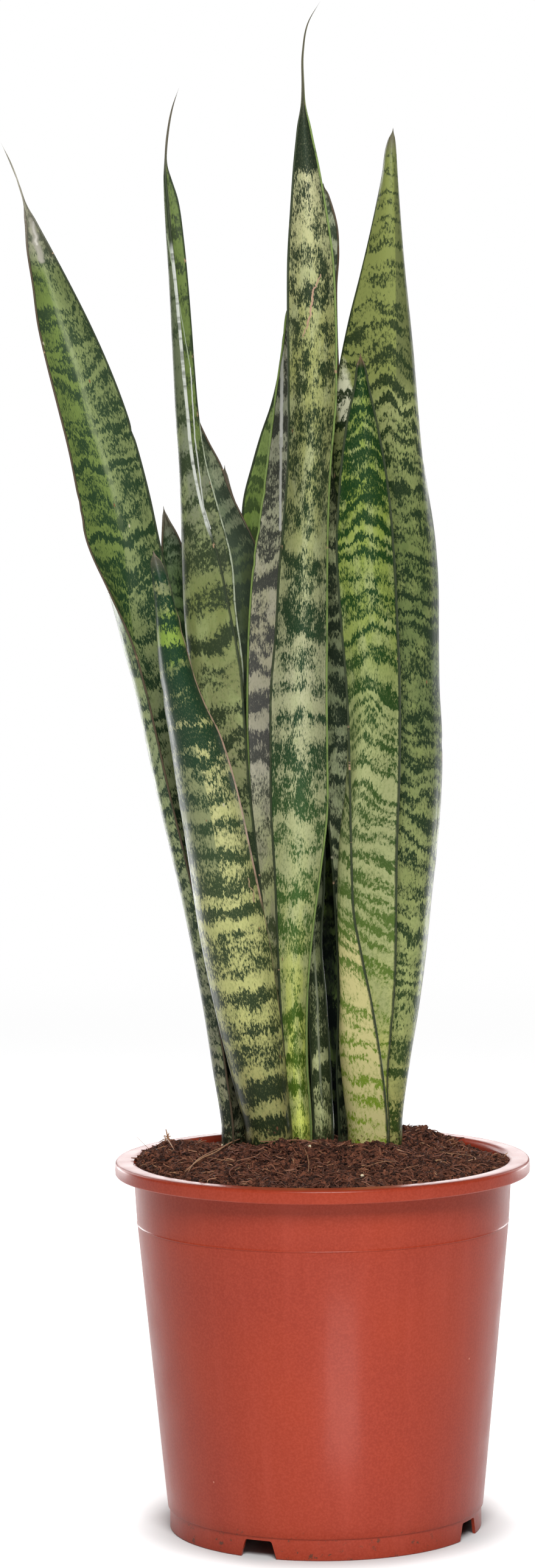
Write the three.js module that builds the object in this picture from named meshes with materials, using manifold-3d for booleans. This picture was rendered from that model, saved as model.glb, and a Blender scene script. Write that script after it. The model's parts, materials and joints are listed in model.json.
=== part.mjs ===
// A snake plant in a plastic nursery pot: the pot, the potting soil that fills it and thirteen leaves.
// Millimetres, +Z up. The origin is on the pot's axis, on the surface that it stands on. -Y is the front.
import * as THREE from 'three';
import { mergeVertices } from 'three/addons/utils/BufferGeometryUtils.js';
import Module from 'manifold-3d';

const wasm = await Module();
wasm.setup();

// ---- Driving sizes ----

const RIM_DIAMETER = 210;
const POT_HEIGHT = 188;
const WALL = 1.6;
const CLEARANCE = 0.3;

const SEGMENTS = 48;

// ---- The pot ----

const rimRadius = RIM_DIAMETER / 2;
const lipHeight = 7;
const lipWidth = 9.4;
const lipRound = 1;
const lipInnerRound = 3.4;
const bodyTopRadius = rimRadius - lipWidth;
const seamHeight = 0.83 * POT_HEIGHT;
const seamRadius = 94;
const seamStep = 0.4;
const bodyFootRadius = 80.2;
const skirtHeight = 11;
const skirtInset = 1;
const floorUnderside = skirtHeight - WALL;
const hubRadius = 22;

const notchCount = 4;
const firstNotchAngle = -25;
const notchTopWidth = 14.6;
const notchFootWidth = 20.7;
const notchHeight = 9;

const drainHoleCount = 8;
const drainHoleRadius = 5;
const drainCircleRadius = 52;
const drainHoleSides = 12;
const cutterOverrun = 1;
const cutterReach = 4 * WALL;

// The radius of the pot's inner wall at a height above the floor.
function innerRadius(height) {
  const atFoot = bodyFootRadius - WALL;
  const atTop = bodyTopRadius - WALL;
  return THREE.MathUtils.mapLinear(height, skirtHeight, POT_HEIGHT, atFoot, atTop);
}

// Half of the pot's section, from the middle of its hub's underside round to the hub's inside.
function potProfile() {
  const skirtRadius = bodyFootRadius - skirtInset;
  const lipFoot = POT_HEIGHT - lipHeight;
  const underLip = POT_HEIGHT - WALL;
  const innerTop = innerRadius(POT_HEIGHT);
  const lipEased = lipInnerRound * (1 - Math.SQRT1_2);
  return [
    [0, 0],
    [hubRadius, 0],
    [hubRadius, floorUnderside],
    [skirtRadius - WALL, floorUnderside],
    [skirtRadius - WALL, 0],
    [skirtRadius, 0],
    [skirtRadius, skirtHeight],
    [bodyFootRadius, skirtHeight],
    [seamRadius - seamStep, seamHeight - seamStep],
    [seamRadius, seamHeight],
    [bodyTopRadius, lipFoot],
    [bodyTopRadius, underLip],
    [rimRadius - WALL, underLip],
    [rimRadius - WALL, lipFoot],
    [rimRadius, lipFoot],
    [rimRadius, POT_HEIGHT - lipRound],
    [rimRadius - lipRound, POT_HEIGHT],
    [innerTop + lipInnerRound, POT_HEIGHT],
    [innerTop + lipEased, POT_HEIGHT - lipEased],
    [innerRadius(POT_HEIGHT - lipInnerRound), POT_HEIGHT - lipInnerRound],
    [innerRadius(skirtHeight), skirtHeight],
    [hubRadius - WALL, skirtHeight],
    [hubRadius - WALL, WALL],
    [0, WALL],
  ];
}

// A profile of [radius, height] points turned round the vertical axis.
function revolved(profile) {
  const points = profile.map(([radius, height]) => new THREE.Vector2(radius, height));
  const geometry = new THREE.LatheGeometry(points, SEGMENTS);
  geometry.rotateX(Math.PI / 2);
  return geometry;
}

// One drainage notch: a tapered block through the skirt at the front, turned to its place.
function notchCutter(angle) {
  const halfFoot = notchFootWidth / 2;
  const halfTop = notchTopWidth / 2;
  const outline = new THREE.Shape([
    new THREE.Vector2(-halfFoot, -cutterOverrun),
    new THREE.Vector2(halfFoot, -cutterOverrun),
    new THREE.Vector2(halfTop, notchHeight),
    new THREE.Vector2(-halfTop, notchHeight),
  ]);
  const geometry = new THREE.ExtrudeGeometry(outline, { depth: 2 * cutterReach, bevelEnabled: false });
  geometry.rotateX(Math.PI / 2);
  geometry.translate(0, cutterReach - bodyFootRadius, 0);
  geometry.rotateZ(angle);
  return geometry;
}

function drainHoleCutter(angle) {
  const geometry = new THREE.CylinderGeometry(drainHoleRadius, drainHoleRadius, cutterReach, drainHoleSides);
  geometry.rotateX(Math.PI / 2);
  geometry.translate(0, -drainCircleRadius, skirtHeight - WALL / 2);
  geometry.rotateZ(angle);
  return geometry;
}

function potGeometry() {
  let pot = solidOf(revolved(potProfile()));
  for (let i = 0; i < notchCount; i += 1) {
    const angle = THREE.MathUtils.degToRad(firstNotchAngle) + (i * 2 * Math.PI) / notchCount;
    pot = pot.subtract(solidOf(notchCutter(angle)));
  }
  for (let i = 0; i < drainHoleCount; i += 1) {
    pot = pot.subtract(solidOf(drainHoleCutter((i * 2 * Math.PI) / drainHoleCount)));
  }
  return geometryOf(pot);
}

// ---- The leaves ----

const FACE_SPANS = 6;
const LEAF_LEVELS = 22;
const EDGE_THICKNESS = 1;
const THICKENING = 0.2;
const FLANK_FULLNESS = 0.8;
const TIP_CROWDING = 1.3;
const ROOT_HEIGHT = 160;

// A leaf's inner face is followed up its length. Each row gives a height, then x and y of the face's
// first edge, of its midrib and of its second edge. The outer face lies on the left of the way from
// the first edge to the second, seen from above, and 'thick' is the most that the leaf may be thick
// over its midrib, at the soil and below its tip.
const LEAVES = [
  {
    name: 'leaf_far_left',
    colour: 0x5f7a45,
    thick: [6, 3],
    rows: [
      [200, -45, 22, -46, 32, -37, 38],
      [247, -50.6, 22, -52, 33, -39, 39],
      [310, -61.5, 20, -63, 33, -45.5, 39],
      [372, -75.5, 20, -76.5, 34, -56, 38],
      [434, -89.3, 20, -89, 36, -67.5, 38],
      [466, -100, 20, -96.5, 38, -73, 36],
      [481, -108.5, 22, -97, 40, -76, 35],
      [497, -115, 24, -98.5, 42, -80, 34],
      [512, -119.5, 26, -101, 43, -83, 35],
      [528, -121, 28, -105, 44, -86.5, 36],
      [560, -128.5, 32, -114, 46, -95, 38],
      [584, -134, 35, -121, 47, -103.5, 40],
      [603, -139.5, 38, -126.5, 49, -111.5, 41],
      [621, -141.5, 40, -132, 50, -120, 42],
      [652, -146, 44, -142, 49, -136, 45],
      [672, -147.6, 48, -147.2, 48.6, -146.4, 48],
      [697, -156.6, 49.5, -156.3, 50, -155.8, 49.5],
      [704, -159.8, 50, -159.5, 50.4, -159, 50],
    ],
  },
  {
    name: 'leaf_front_left',
    colour: 0x6f8550,
    thick: [6, 3],
    rows: [
      [200, -16, 14, -27.5, 6, -38.5, 20],
      [263, -22, 12, -37.5, 3, -53.5, 18],
      [303, -27.5, 10, -45, 1, -61, 16],
      [344, -35.5, 8, -51, -1, -66.5, 13],
      [375, -42, 6, -56, -3, -71, 10],
      [405, -51, 4, -63, -4, -75, 8],
      [422, -59.5, 3, -68, -5, -77.5, 6],
      [442, -65.5, 2, -72.5, -5, -79.5, 4],
      [473, -73, 0, -77, -5, -81, 1],
      [496, -81, -1, -82, -2, -83, -1],
    ],
  },
  {
    name: 'leaf_tall_left',
    colour: 0x6d8a4c,
    thick: [6, 3],
    rows: [
      [200, -20, 20, -30, 27, -26, 32],
      [247, -23.5, 20, -34, 29, -29, 35],
      [310, -28.5, 21, -42, 32, -34, 39],
      [387, -36, 24, -54, 36, -37.5, 44],
      [434, -39, 28, -61, 40, -38.5, 48],
      [465, -44.5, 32, -64, 44, -42, 52],
      [496, -51, 36, -65, 48, -44.5, 56],
      [528, -60.5, 40, -65.5, 50, -54, 58],
      [559, -64, 44, -67.5, 52, -59.5, 58],
      [636, -70.6, 52, -71, 57, -65.2, 60],
      [668, -73.9, 57, -73.5, 60, -68.6, 61],
      [684, -74.9, 59.5, -74.6, 61.2, -71.8, 61.6],
      [693, -75.4, 61, -75.4, 61.8, -74.6, 62],
      [714, -73.6, 61.4, -73.4, 62, -72.8, 61.6],
      [732, -68.5, 61.4, -68.2, 61.8, -67.7, 61.4],
    ],
  },
  {
    name: 'leaf_behind_left',
    colour: 0x46602f,
    thick: [6, 3],
    rows: [
      [200, -34, 44, -28, 50, -22.5, 48],
      [307, -38, 52, -30.5, 60, -23, 54],
      [401, -45, 58, -35, 68, -25, 58],
      [464, -54, 64, -42, 74, -28.5, 64],
      [497, -60, 68, -46, 78, -31.5, 68],
      [518, -65, 72, -54, 80, -42.5, 72],
      [537, -67, 76, -59, 84, -49, 76],
      [560, -68.5, 80, -65, 84, -60.5, 80],
      [580, -70, 83, -68.5, 84.5, -67, 83],
    ],
  },
  {
    name: 'leaf_small_behind',
    colour: 0x46452f,
    thick: [4.5, 2.5],
    rows: [
      [200, -26, 58, -22.5, 61, -18, 58],
      [300, -34, 75, -30, 80, -25, 75],
      [400, -43, 90, -38, 94, -32, 90],
      [470, -47.5, 94, -42, 98, -36.5, 94],
      [497, -48.5, 94, -42.5, 98, -37, 94],
      [516, -49, 92, -45.5, 95, -41.5, 92],
      [531, -48.6, 92, -47.7, 93, -46.6, 92],
      [539, -48, 92, -47.7, 92.3, -47.4, 92],
    ],
  },
  {
    name: 'leaf_small_left',
    colour: 0x3f5a30,
    thick: [4.5, 2.5],
    rows: [
      [200, -44, 46, -41.5, 49, -38, 47],
      [330, -60, 53, -56, 56, -51, 53],
      [465, -78.5, 60, -72.5, 63, -66, 60],
      [500, -79.5, 64, -76, 66, -70, 63],
      [506, -79, 64.5, -77, 66.2, -74.5, 64],
      [511, -78.6, 65, -78, 66, -77.2, 65],
      [518, -79.4, 65.6, -79.1, 65.9, -78.8, 65.6],
    ],
  },
  {
    name: 'leaf_bright_behind',
    colour: 0x6f9a3c,
    thick: [5.5, 3],
    rows: [
      [200, -14, 54, -3, 61, 9, 55],
      [300, -23, 63, -7, 73, 10, 64],
      [369, -31, 71, -12, 81, 7, 72],
      [420, -35.5, 76, -18, 86, -1, 77],
      [464, -39, 80, -23, 88, -5, 80],
      [511, -38.5, 86, -22.5, 94, -4.5, 86],
      [545, -31, 89, -17, 96, -3, 89],
      [579, -20, 92, -12.5, 97, -5, 92],
      [615, -14.2, 95, -13, 96.5, -11.8, 95],
    ],
  },
  {
    name: 'leaf_pale_centre',
    colour: 0x8f9474,
    thick: [5.5, 3],
    rows: [
      [200, -21, 36, -15, 44, -8, 41],
      [245, -22.5, 36, -17, 45, -11.5, 42],
      [295, -29, 36, -20, 47, -11, 43],
      [355, -34, 37, -23, 49, -11, 44],
      [408, -36, 38, -23.5, 50, -9, 45],
      [449, -35, 40, -22, 52, -7, 46],
      [488, -32, 42, -18.5, 54, -4, 48],
      [511, -28.5, 44, -16, 56, -3.5, 50],
      [546, -23.5, 48, -14, 58, -4, 52],
      [577, -19.5, 52, -12.5, 59, -5.5, 54],
      [611, -14.5, 56, -12.7, 58, -11, 56],
      [622, -13.6, 57, -12.8, 58, -12, 57],
    ],
  },
  {
    name: 'leaf_tall_centre',
    colour: 0x7c9158,
    thick: [6, 3],
    rows: [
      [200, -16, 22, -11, 30, -6, 24],
      [243, -19, 20, -13.5, 29, -8, 22],
      [281, -21, 18, -14, 27, -6.5, 19],
      [320, -22, 15, -11.5, 26, -1.5, 17],
      [371, -24, 10, -10, 26, 4, 12],
      [422, -23.5, 8, -9, 25, 4, 10],
      [456, -20.5, 8, -7.5, 25, 4.5, 10],
      [494, -18, 9, -5.5, 26, 5, 11],
      [531, -14, 11, -3.5, 28, 6.5, 13],
      [582, -13, 14, -1, 30, 10.5, 16],
      [629, -13, 18, -1.5, 32, 10, 20],
      [666, -11, 22, -2.5, 32, 6, 24],
      [702, -8, 28, -4, 33, -0.2, 29],
      [723, -5.5, 32, -4.8, 33, -4, 32],
      [747, -5, 33, -4.6, 33.6, -4.1, 33],
      [758, -3.3, 33.4, -2.9, 33.8, -2.4, 33.4],
      [765, -0.3, 33.6, 0.1, 34, 0.6, 33.6],
      [772, 4.2, 33.7, 4.6, 34, 5, 33.7],
    ],
  },
  {
    name: 'leaf_dark_centre',
    colour: 0x4d5a3c,
    thick: [5.5, 3],
    rows: [
      [200, 9, 28, 15, 34, 21, 34],
      [240, 8, 28, 14, 35, 19.7, 34],
      [265, 9.5, 29, 14.5, 36, 19.7, 34],
      [340, 6.5, 32, 13, 40, 19.7, 36],
      [371, 3.7, 34, 11.5, 42, 19.5, 37],
      [433, -2, 38, 8, 46, 19.3, 40],
      [496, -4.5, 42, 6.2, 50, 18.5, 44],
      [545, -6, 44, 4.8, 52, 16, 46],
      [583, -5.5, 46, 4, 53, 11.6, 46],
      [623, -5, 48, 4.2, 54, 10.8, 48],
      [654, -1.7, 50, 5.8, 55, 12.4, 50],
      [668, 1, 52, 5.3, 55, 9.3, 52],
      [682, 4.4, 54, 5.1, 55, 5.8, 54],
    ],
  },
  {
    name: 'leaf_striped_front',
    colour: 0x86a04b,
    thick: [6, 3],
    rows: [
      [200, 33.5, 5, 19, 14, 34.5, 24],
      [217, 32.5, 4, 17, 14, 33.5, 22],
      [249, 28.7, 3, 14.3, 13, 35.5, 18],
      [280, 23.5, 2, 15, 13, 38, 14],
      [311, 17.6, 0, 15.5, 12, 38.6, 10],
      [342, 16.6, -2, 16.5, 12, 39, 6],
      [387, 16, -4, 23, 10, 40.5, 0],
      [422, 15, -6, 25.5, 8, 40.8, -2],
      [456, 12.5, -7, 25.3, 6, 39.8, -4],
      [494, 10.3, -8, 24.4, 4, 38.3, -6],
      [531, 12.4, -9, 24, 0, 35, -7],
      [562, 16.6, -10, 23.7, -5, 29.5, -9],
      [580, 20.7, -10, 23, -8, 25.6, -10],
      [593, 21.9, -10, 22.7, -9, 23.5, -10],
    ],
  },
  {
    name: 'leaf_tall_right',
    colour: 0x6c8a4e,
    thick: [6, 3],
    rows: [
      [200, 40.5, 38, 33.5, 33, 26.5, 40],
      [234, 45, 37, 36, 30, 26.3, 39],
      [272, 51.5, 36, 38.5, 26, 25.3, 37],
      [326, 57.5, 34, 41.5, 22, 24.5, 35],
      [358, 61, 33, 42.5, 20, 24, 34],
      [390, 62.5, 31, 43, 18, 23, 32],
      [434, 61, 29, 42, 16, 21, 30],
      [480, 61, 27, 41, 14, 16, 28],
      [511, 58, 26, 40.5, 13, 11.8, 26],
      [533, 54.4, 25, 40.5, 12, 9.2, 28],
      [559, 50.8, 24, 40.5, 10, 9, 27],
      [592, 47.4, 22, 40.7, 9, 13.7, 22],
      [650, 41.8, 18, 39.5, 8, 28, 13],
      [685, 40.2, 14, 39, 9.5, 35.6, 12],
      [700, 40.2, 13, 39.6, 11.4, 38, 12.6],
      [706, 40.7, 12.8, 40.3, 12.2, 39.6, 12.6],
    ],
  },
  {
    name: 'leaf_young_centre',
    colour: 0x5c7044,
    thick: [4.5, 2.5],
    rows: [
      [200, -4, 36, 1, 39, 5, 32],
      [230, -5, 36, -1, 38.5, 4, 32],
      [265, -6, 35, -2, 38.5, 2, 32],
      [293, -5.7, 34, -3, 37, 0, 33],
      [324, -3.5, 34, -1, 36, 1.8, 33],
      [355, 0.8, 34, 1.6, 35, 2.4, 34],
    ],
  },
];

// A smooth value at 'at' through the points (xs, ys), which never swings past its neighbours.
function smoothValue(xs, ys, at) {
  const last = xs.length - 1;
  const steps = xs.slice(1).map((x, i) => (ys[i + 1] - ys[i]) / (x - xs[i]));
  const slopeAt = (i) => {
    if (i === 0) return steps[0];
    if (i === last) return steps[last - 1];
    const [before, after] = [steps[i - 1], steps[i]];
    return before * after <= 0 ? 0 : (2 * before * after) / (before + after);
  };
  const i = Math.min(Math.max(xs.findIndex((x) => x > at) - 1, 0), last - 1);
  const from = at >= xs[last] ? last - 1 : i;
  const span = xs[from + 1] - xs[from];
  const t = (at - xs[from]) / span;
  const rise = t * t * (3 - 2 * t);
  const startPull = t * (1 - t) * (1 - t) * span * slopeAt(from);
  const endPull = t * t * (1 - t) * span * slopeAt(from + 1);
  return ys[from] + (ys[from + 1] - ys[from]) * rise + startPull - endPull;
}

// The closed outline of a leaf's section: along the inner face, then back along the outer face.
function leafSection([firstX, firstY, ribX, ribY, secondX, secondY], thick) {
  const first = new THREE.Vector2(firstX, firstY);
  const second = new THREE.Vector2(secondX, secondY);
  const pull = new THREE.Vector2(ribX, ribY).multiplyScalar(2);
  pull.addScaledVector(first, -0.5).addScaledVector(second, -0.5);
  const face = new THREE.QuadraticBezierCurve(first, pull, second);
  const middle = Math.min(thick, EDGE_THICKNESS + THICKENING * face.getLength());
  const inner = [];
  const outer = [];
  for (let i = 0; i <= FACE_SPANS; i += 1) {
    const t = i / FACE_SPANS;
    const along = face.getTangent(t);
    const depth = EDGE_THICKNESS + (middle - EDGE_THICKNESS) * Math.sin(Math.PI * t) ** FLANK_FULLNESS;
    const point = face.getPoint(t);
    inner.push(point);
    outer.unshift(new THREE.Vector2(point.x - along.y * depth, point.y + along.x * depth));
  }
  return [...inner, ...outer];
}

// The sections of a leaf from its foot in the soil to its tip, closer together towards the tip.
function leafSections({ rows, thick }) {
  const heights = rows.map((row) => row[0]);
  const [soilHeight, tipHeight] = [heights[0], heights[heights.length - 1]];
  const sections = [];
  for (let i = 0; i <= LEAF_LEVELS; i += 1) {
    const share = 1 - (1 - i / LEAF_LEVELS) ** TIP_CROWDING;
    const height = THREE.MathUtils.lerp(soilHeight, tipHeight, share);
    const places = [1, 2, 3, 4, 5, 6].map((k) => smoothValue(heights, rows.map((row) => row[k]), height));
    const outline = leafSection(places, THREE.MathUtils.lerp(thick[0], thick[1], share));
    sections.push({ height, outline });
  }
  return [{ height: ROOT_HEIGHT, outline: sections[0].outline }, ...sections];
}

// A closed solid through sections of equal point counts. Both faces of a section are split into
// triangles alike, and strips from face to face close the ends.
function loft(sections) {
  const count = sections[0].outline.length;
  const half = count / 2;
  const positions = sections.flatMap(({ height, outline }) => outline.flatMap(({ x, y }) => [x, y, height]));
  const triangles = [];
  for (let level = 0; level < sections.length - 1; level += 1) {
    const low = level * count;
    const high = low + count;
    for (let i = 0; i < count; i += 1) {
      const next = (i + 1) % count;
      if (i < half) {
        triangles.push(low + i, low + next, high + next, low + i, high + next, high + i);
      } else {
        triangles.push(low + i, low + next, high + i, low + next, high + next, high + i);
      }
    }
  }
  const top = (sections.length - 1) * count;
  for (let i = 0; i < half - 1; i += 1) {
    const [near, far] = [i + 1, count - 2 - i];
    triangles.push(i, far + 1, near, near, far + 1, far);
    triangles.push(top + i, top + near, top + far + 1, top + near, top + far, top + far + 1);
  }
  const geometry = new THREE.BufferGeometry();
  geometry.setAttribute('position', new THREE.Float32BufferAttribute(positions, 3));
  geometry.setIndex(triangles);
  return geometry;
}

// ---- The soil ----

const soilHeight = 183.5;
const soilRings = [86, 76, 66, 56, 46, 36, 26, 13, 0];
const soilMargin = 1;
const holeClearance = 1.3 * CLEARANCE;
const holeHeadroom = 20;

// The soil's fine ripples: two waves that cross, each with its height and its length over 2 pi.
const broadRipple = 0.8;
const broadLength = { x: 7, y: 9 };
const fineRipple = 0.6;
const fineLength = { x: 4, y: 5 };

// Where the soil is heaped above its height, or has sunk below it: the place, the reach and the rise.
const MOUNDS = [
  { x: -4, y: 14, reach: 62, rise: 8 },
  { x: -28, y: -8, reach: 18, rise: 4 },
  { x: 24, y: -8, reach: 18, rise: 4 },
  { x: 47, y: 74, reach: 24, rise: 9 },
  { x: -78, y: 40, reach: 26, rise: 4 },
  { x: -90, y: -6, reach: 34, rise: 3.5 },
  { x: 88, y: 42, reach: 34, rise: -4 },
  { x: 40, y: -60, reach: 30, rise: 3 },
  { x: -46, y: -58, reach: 30, rise: 3 },
];

// The height of the soil's surface, which stays below the rim along the pot's wall.
function soilTop(x, y) {
  const heaped = MOUNDS.map((mound) => {
    const distance = Math.hypot(x - mound.x, y - mound.y) / mound.reach;
    return mound.rise * Math.exp(-distance * distance);
  });
  const broad = broadRipple * Math.sin(x / broadLength.x + 1) * Math.cos(y / broadLength.y);
  const fine = fineRipple * Math.sin(x / fineLength.x - y / fineLength.y);
  const height = heaped.reduce((sum, rise) => sum + rise, soilHeight + broad + fine);
  const atWall = Math.hypot(x, y) > soilRings[0];
  return atWall ? Math.min(height, POT_HEIGHT - soilMargin) : height;
}

function soilGeometry() {
  const floorTop = skirtHeight + CLEARANCE;
  const hubInside = hubRadius - WALL - CLEARANCE;
  const profile = [
    [0, WALL + CLEARANCE],
    [hubInside, WALL + CLEARANCE],
    [hubInside, floorTop],
    [innerRadius(skirtHeight) - CLEARANCE, floorTop],
    [innerRadius(soilHeight) - CLEARANCE, soilHeight],
    ...soilRings.map((radius) => [radius, soilHeight]),
  ];
  const geometry = revolved(profile);
  const position = geometry.getAttribute('position');
  for (let i = 0; i < position.count; i += 1) {
    const [x, y] = [position.getX(i), position.getY(i)];
    if (position.getZ(i) > POT_HEIGHT / 2) {
      const radius = Math.hypot(x, y);
      const top = soilTop(x, y);
      const spread = radius > soilRings[0] ? (innerRadius(top) - CLEARANCE) / radius : 1;
      position.setXYZ(i, x * spread, y * spread, top);
    }
  }
  let soil = solidOf(geometry);
  for (const leaf of LEAVES) soil = soil.subtract(solidOf(holeGeometry(leaf)));
  return geometryOf(soil);
}

// The plain hole that a leaf stands in: its foot's outline, let out by the clearance.
function holeGeometry(leaf) {
  const { outline } = leafSections(leaf)[0];
  const letOut = outline.map((point, i) => {
    const before = outline.at(i - 1);
    const after = outline[(i + 1) % outline.length];
    const sideways = new THREE.Vector2(point.y - before.y, before.x - point.x).normalize();
    const onwards = new THREE.Vector2(after.y - point.y, point.x - after.x).normalize();
    const outwards = sideways.add(onwards).normalize();
    return point.clone().addScaledVector(outwards, holeClearance);
  });
  const bottom = ROOT_HEIGHT - CLEARANCE;
  const top = POT_HEIGHT + holeHeadroom;
  return loft([{ height: bottom, outline: letOut }, { height: top, outline: letOut }]);
}

// ---- Solids ----

const MERGE_DISTANCE = 1e-4;

function solidOf(source) {
  const bare = source.clone();
  bare.deleteAttribute('normal');
  bare.deleteAttribute('uv');
  const merged = mergeVertices(bare, MERGE_DISTANCE);
  const corners = merged.getIndex().array;
  const kept = [];
  for (let i = 0; i < corners.length; i += 3) {
    const [a, b, c] = corners.slice(i, i + 3);
    if (a !== b && b !== c && c !== a) kept.push(a, b, c);
  }
  return new wasm.Manifold(new wasm.Mesh({
    numProp: 3,
    vertProperties: Float32Array.from(merged.getAttribute('position').array),
    triVerts: Uint32Array.from(kept),
  }));
}

function geometryOf(solid) {
  const { vertProperties, triVerts } = solid.getMesh();
  const geometry = new THREE.BufferGeometry();
  geometry.setAttribute('position', new THREE.BufferAttribute(vertProperties, 3));
  geometry.setIndex(new THREE.BufferAttribute(triVerts, 1));
  return geometry;
}

// ---- The plant in its pot ----

const SMOOTH_FINISH = 0.45;
const EARTHY_FINISH = 0.95;

function piece(name, geometry, colour, roughness) {
  geometry.computeVertexNormals();
  const material = new THREE.MeshStandardMaterial({ color: colour, roughness, metalness: 0 });
  const mesh = new THREE.Mesh(geometry, material);
  mesh.name = name;
  return mesh;
}

const plant = new THREE.Group();
plant.add(piece('pot', potGeometry(), 0xa8442f, SMOOTH_FINISH));
plant.add(piece('potting_soil', soilGeometry(), 0x4a3228, EARTHY_FINISH));
for (const leaf of LEAVES) {
  plant.add(piece(leaf.name, loft(leafSections(leaf)), leaf.colour, SMOOTH_FINISH));
}

export default plant;
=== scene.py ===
"""A snake plant in a terracotta-red nursery pot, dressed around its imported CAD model.

Metres, +Z up, -Y is the front. The leaves, the pot and the soil are measured in millimetres, and MM
turns those into metres.
"""

import json
import math

import bmesh
import bpy
import numpy as np
from mathutils import Matrix, Vector
from mathutils.bvhtree import BVHTree

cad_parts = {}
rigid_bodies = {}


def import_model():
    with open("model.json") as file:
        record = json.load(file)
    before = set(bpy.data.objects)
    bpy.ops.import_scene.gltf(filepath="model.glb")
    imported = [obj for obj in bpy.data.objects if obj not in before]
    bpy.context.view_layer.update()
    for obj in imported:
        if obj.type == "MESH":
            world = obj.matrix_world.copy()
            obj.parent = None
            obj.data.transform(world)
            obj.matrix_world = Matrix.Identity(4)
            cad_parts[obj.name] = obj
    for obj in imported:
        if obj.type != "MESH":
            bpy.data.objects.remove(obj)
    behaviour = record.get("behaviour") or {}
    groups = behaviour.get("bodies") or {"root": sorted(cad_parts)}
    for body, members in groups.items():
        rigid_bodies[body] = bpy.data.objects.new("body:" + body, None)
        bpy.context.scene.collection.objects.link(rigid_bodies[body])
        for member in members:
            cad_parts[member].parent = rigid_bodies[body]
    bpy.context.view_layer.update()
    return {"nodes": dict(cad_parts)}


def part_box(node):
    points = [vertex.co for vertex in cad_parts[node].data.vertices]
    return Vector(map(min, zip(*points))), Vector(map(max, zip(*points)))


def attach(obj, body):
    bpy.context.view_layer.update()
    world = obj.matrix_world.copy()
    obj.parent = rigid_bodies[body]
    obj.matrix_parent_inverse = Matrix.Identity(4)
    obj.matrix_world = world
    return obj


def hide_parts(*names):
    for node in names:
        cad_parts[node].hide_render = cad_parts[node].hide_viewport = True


MM = 0.001
DOWN = Vector((0, 0, -1))

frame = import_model()


def add_object(name, data):
    thing = bpy.data.objects.new(name, data)
    bpy.context.scene.collection.objects.link(thing)
    return thing


def mesh_of(bm, name):
    """The mesh that a bmesh holds, after which the bmesh is freed."""
    mesh = bpy.data.meshes.new(name)
    bm.to_mesh(mesh)
    bm.free()
    return mesh


def plain_mesh(thing):
    """An object's mesh as its modifiers leave it, after which the object is removed."""
    depsgraph = bpy.context.evaluated_depsgraph_get()
    mesh = bpy.data.meshes.new_from_object(thing.evaluated_get(depsgraph), depsgraph=depsgraph)
    thing.modifiers.clear()
    bpy.data.objects.remove(thing)
    return mesh


def circle(radius, height, segments):
    """Points round the vertical axis, from the front on."""
    turns = [math.tau * i / segments for i in range(segments)]
    return [(radius * math.sin(a), -radius * math.cos(a), height) for a in turns]


# ---- The camera, at the photograph's place ----

# In metres, degrees and, for the lens, millimetres.
CAMERA_DISTANCE = 2.179
CAMERA_HEIGHT = 0.524
CAMERA_PITCH = 3.84
CAMERA_YAW = 0.68
CAMERA_ROLL = -0.58
CAMERA_LENS = 99.55


def make_camera():
    data = bpy.data.cameras.new("camera")
    data.lens = CAMERA_LENS
    camera = add_object("camera", data)
    aim = Matrix.Rotation(math.radians(CAMERA_YAW), 4, "Z")
    tilt = Matrix.Rotation(math.radians(90 - CAMERA_PITCH), 4, "X")
    roll = Matrix.Rotation(math.radians(CAMERA_ROLL), 4, "Z")
    place = Matrix.Translation((0, -CAMERA_DISTANCE, CAMERA_HEIGHT))
    camera.matrix_world = place @ aim @ tilt @ roll
    bpy.context.scene.camera = camera


# ---- Node trees ----


class Nodes:
    """A node tree, with short ways to add its nodes and join them."""

    def __init__(self, tree):
        self.tree = tree

    def put(self, socket, value):
        if isinstance(value, bpy.types.NodeSocket):
            self.tree.links.new(value, socket)
        elif socket.type == "RGBA":
            socket.default_value = (*value, 1)
        else:
            socket.default_value = value

    def add(self, kind, inputs, **settings):
        node = self.tree.nodes.new(kind)
        for name, value in settings.items():
            setattr(node, name, value)
        for name, value in inputs.items():
            self.put(node.inputs[name], value)
        return node

    def math(self, operation, *values):
        return self.add("ShaderNodeMath", dict(enumerate(values)), operation=operation).outputs[0]

    def chain(self, operation, first, *others):
        for other in others:
            first = self.math(operation, first, other)
        return first

    def times(self, *values):
        return self.chain("MULTIPLY", *values)

    def plus(self, *values):
        return self.chain("ADD", *values)

    def minus(self, first, second):
        return self.math("SUBTRACT", first, second)

    def over(self, first, second):
        return self.math("DIVIDE", first, second)

    def length(self, x, y):
        return self.math("SQRT", self.plus(self.math("POWER", x, 2.0), self.math("POWER", y, 2.0)))

    def split(self, vector):
        return self.add("ShaderNodeSeparateXYZ", {0: vector}).outputs

    def join(self, x, y, z):
        return self.add("ShaderNodeCombineXYZ", {0: x, 1: y, 2: z}).outputs[0]

    def ranged(self, value, low, high, start=0.0, end=1.0, **settings):
        """A number that goes from start to end while value goes from low to high, and stays there."""
        inputs = {"Value": value, "From Min": low, "From Max": high, "To Min": start, "To Max": end}
        return self.add("ShaderNodeMapRange", inputs, **settings).outputs[0]

    def rise(self, value, low, high):
        """A smooth step from 0 at low to 1 at high."""
        return self.ranged(value, low, high, interpolation_type="SMOOTHSTEP")


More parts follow.
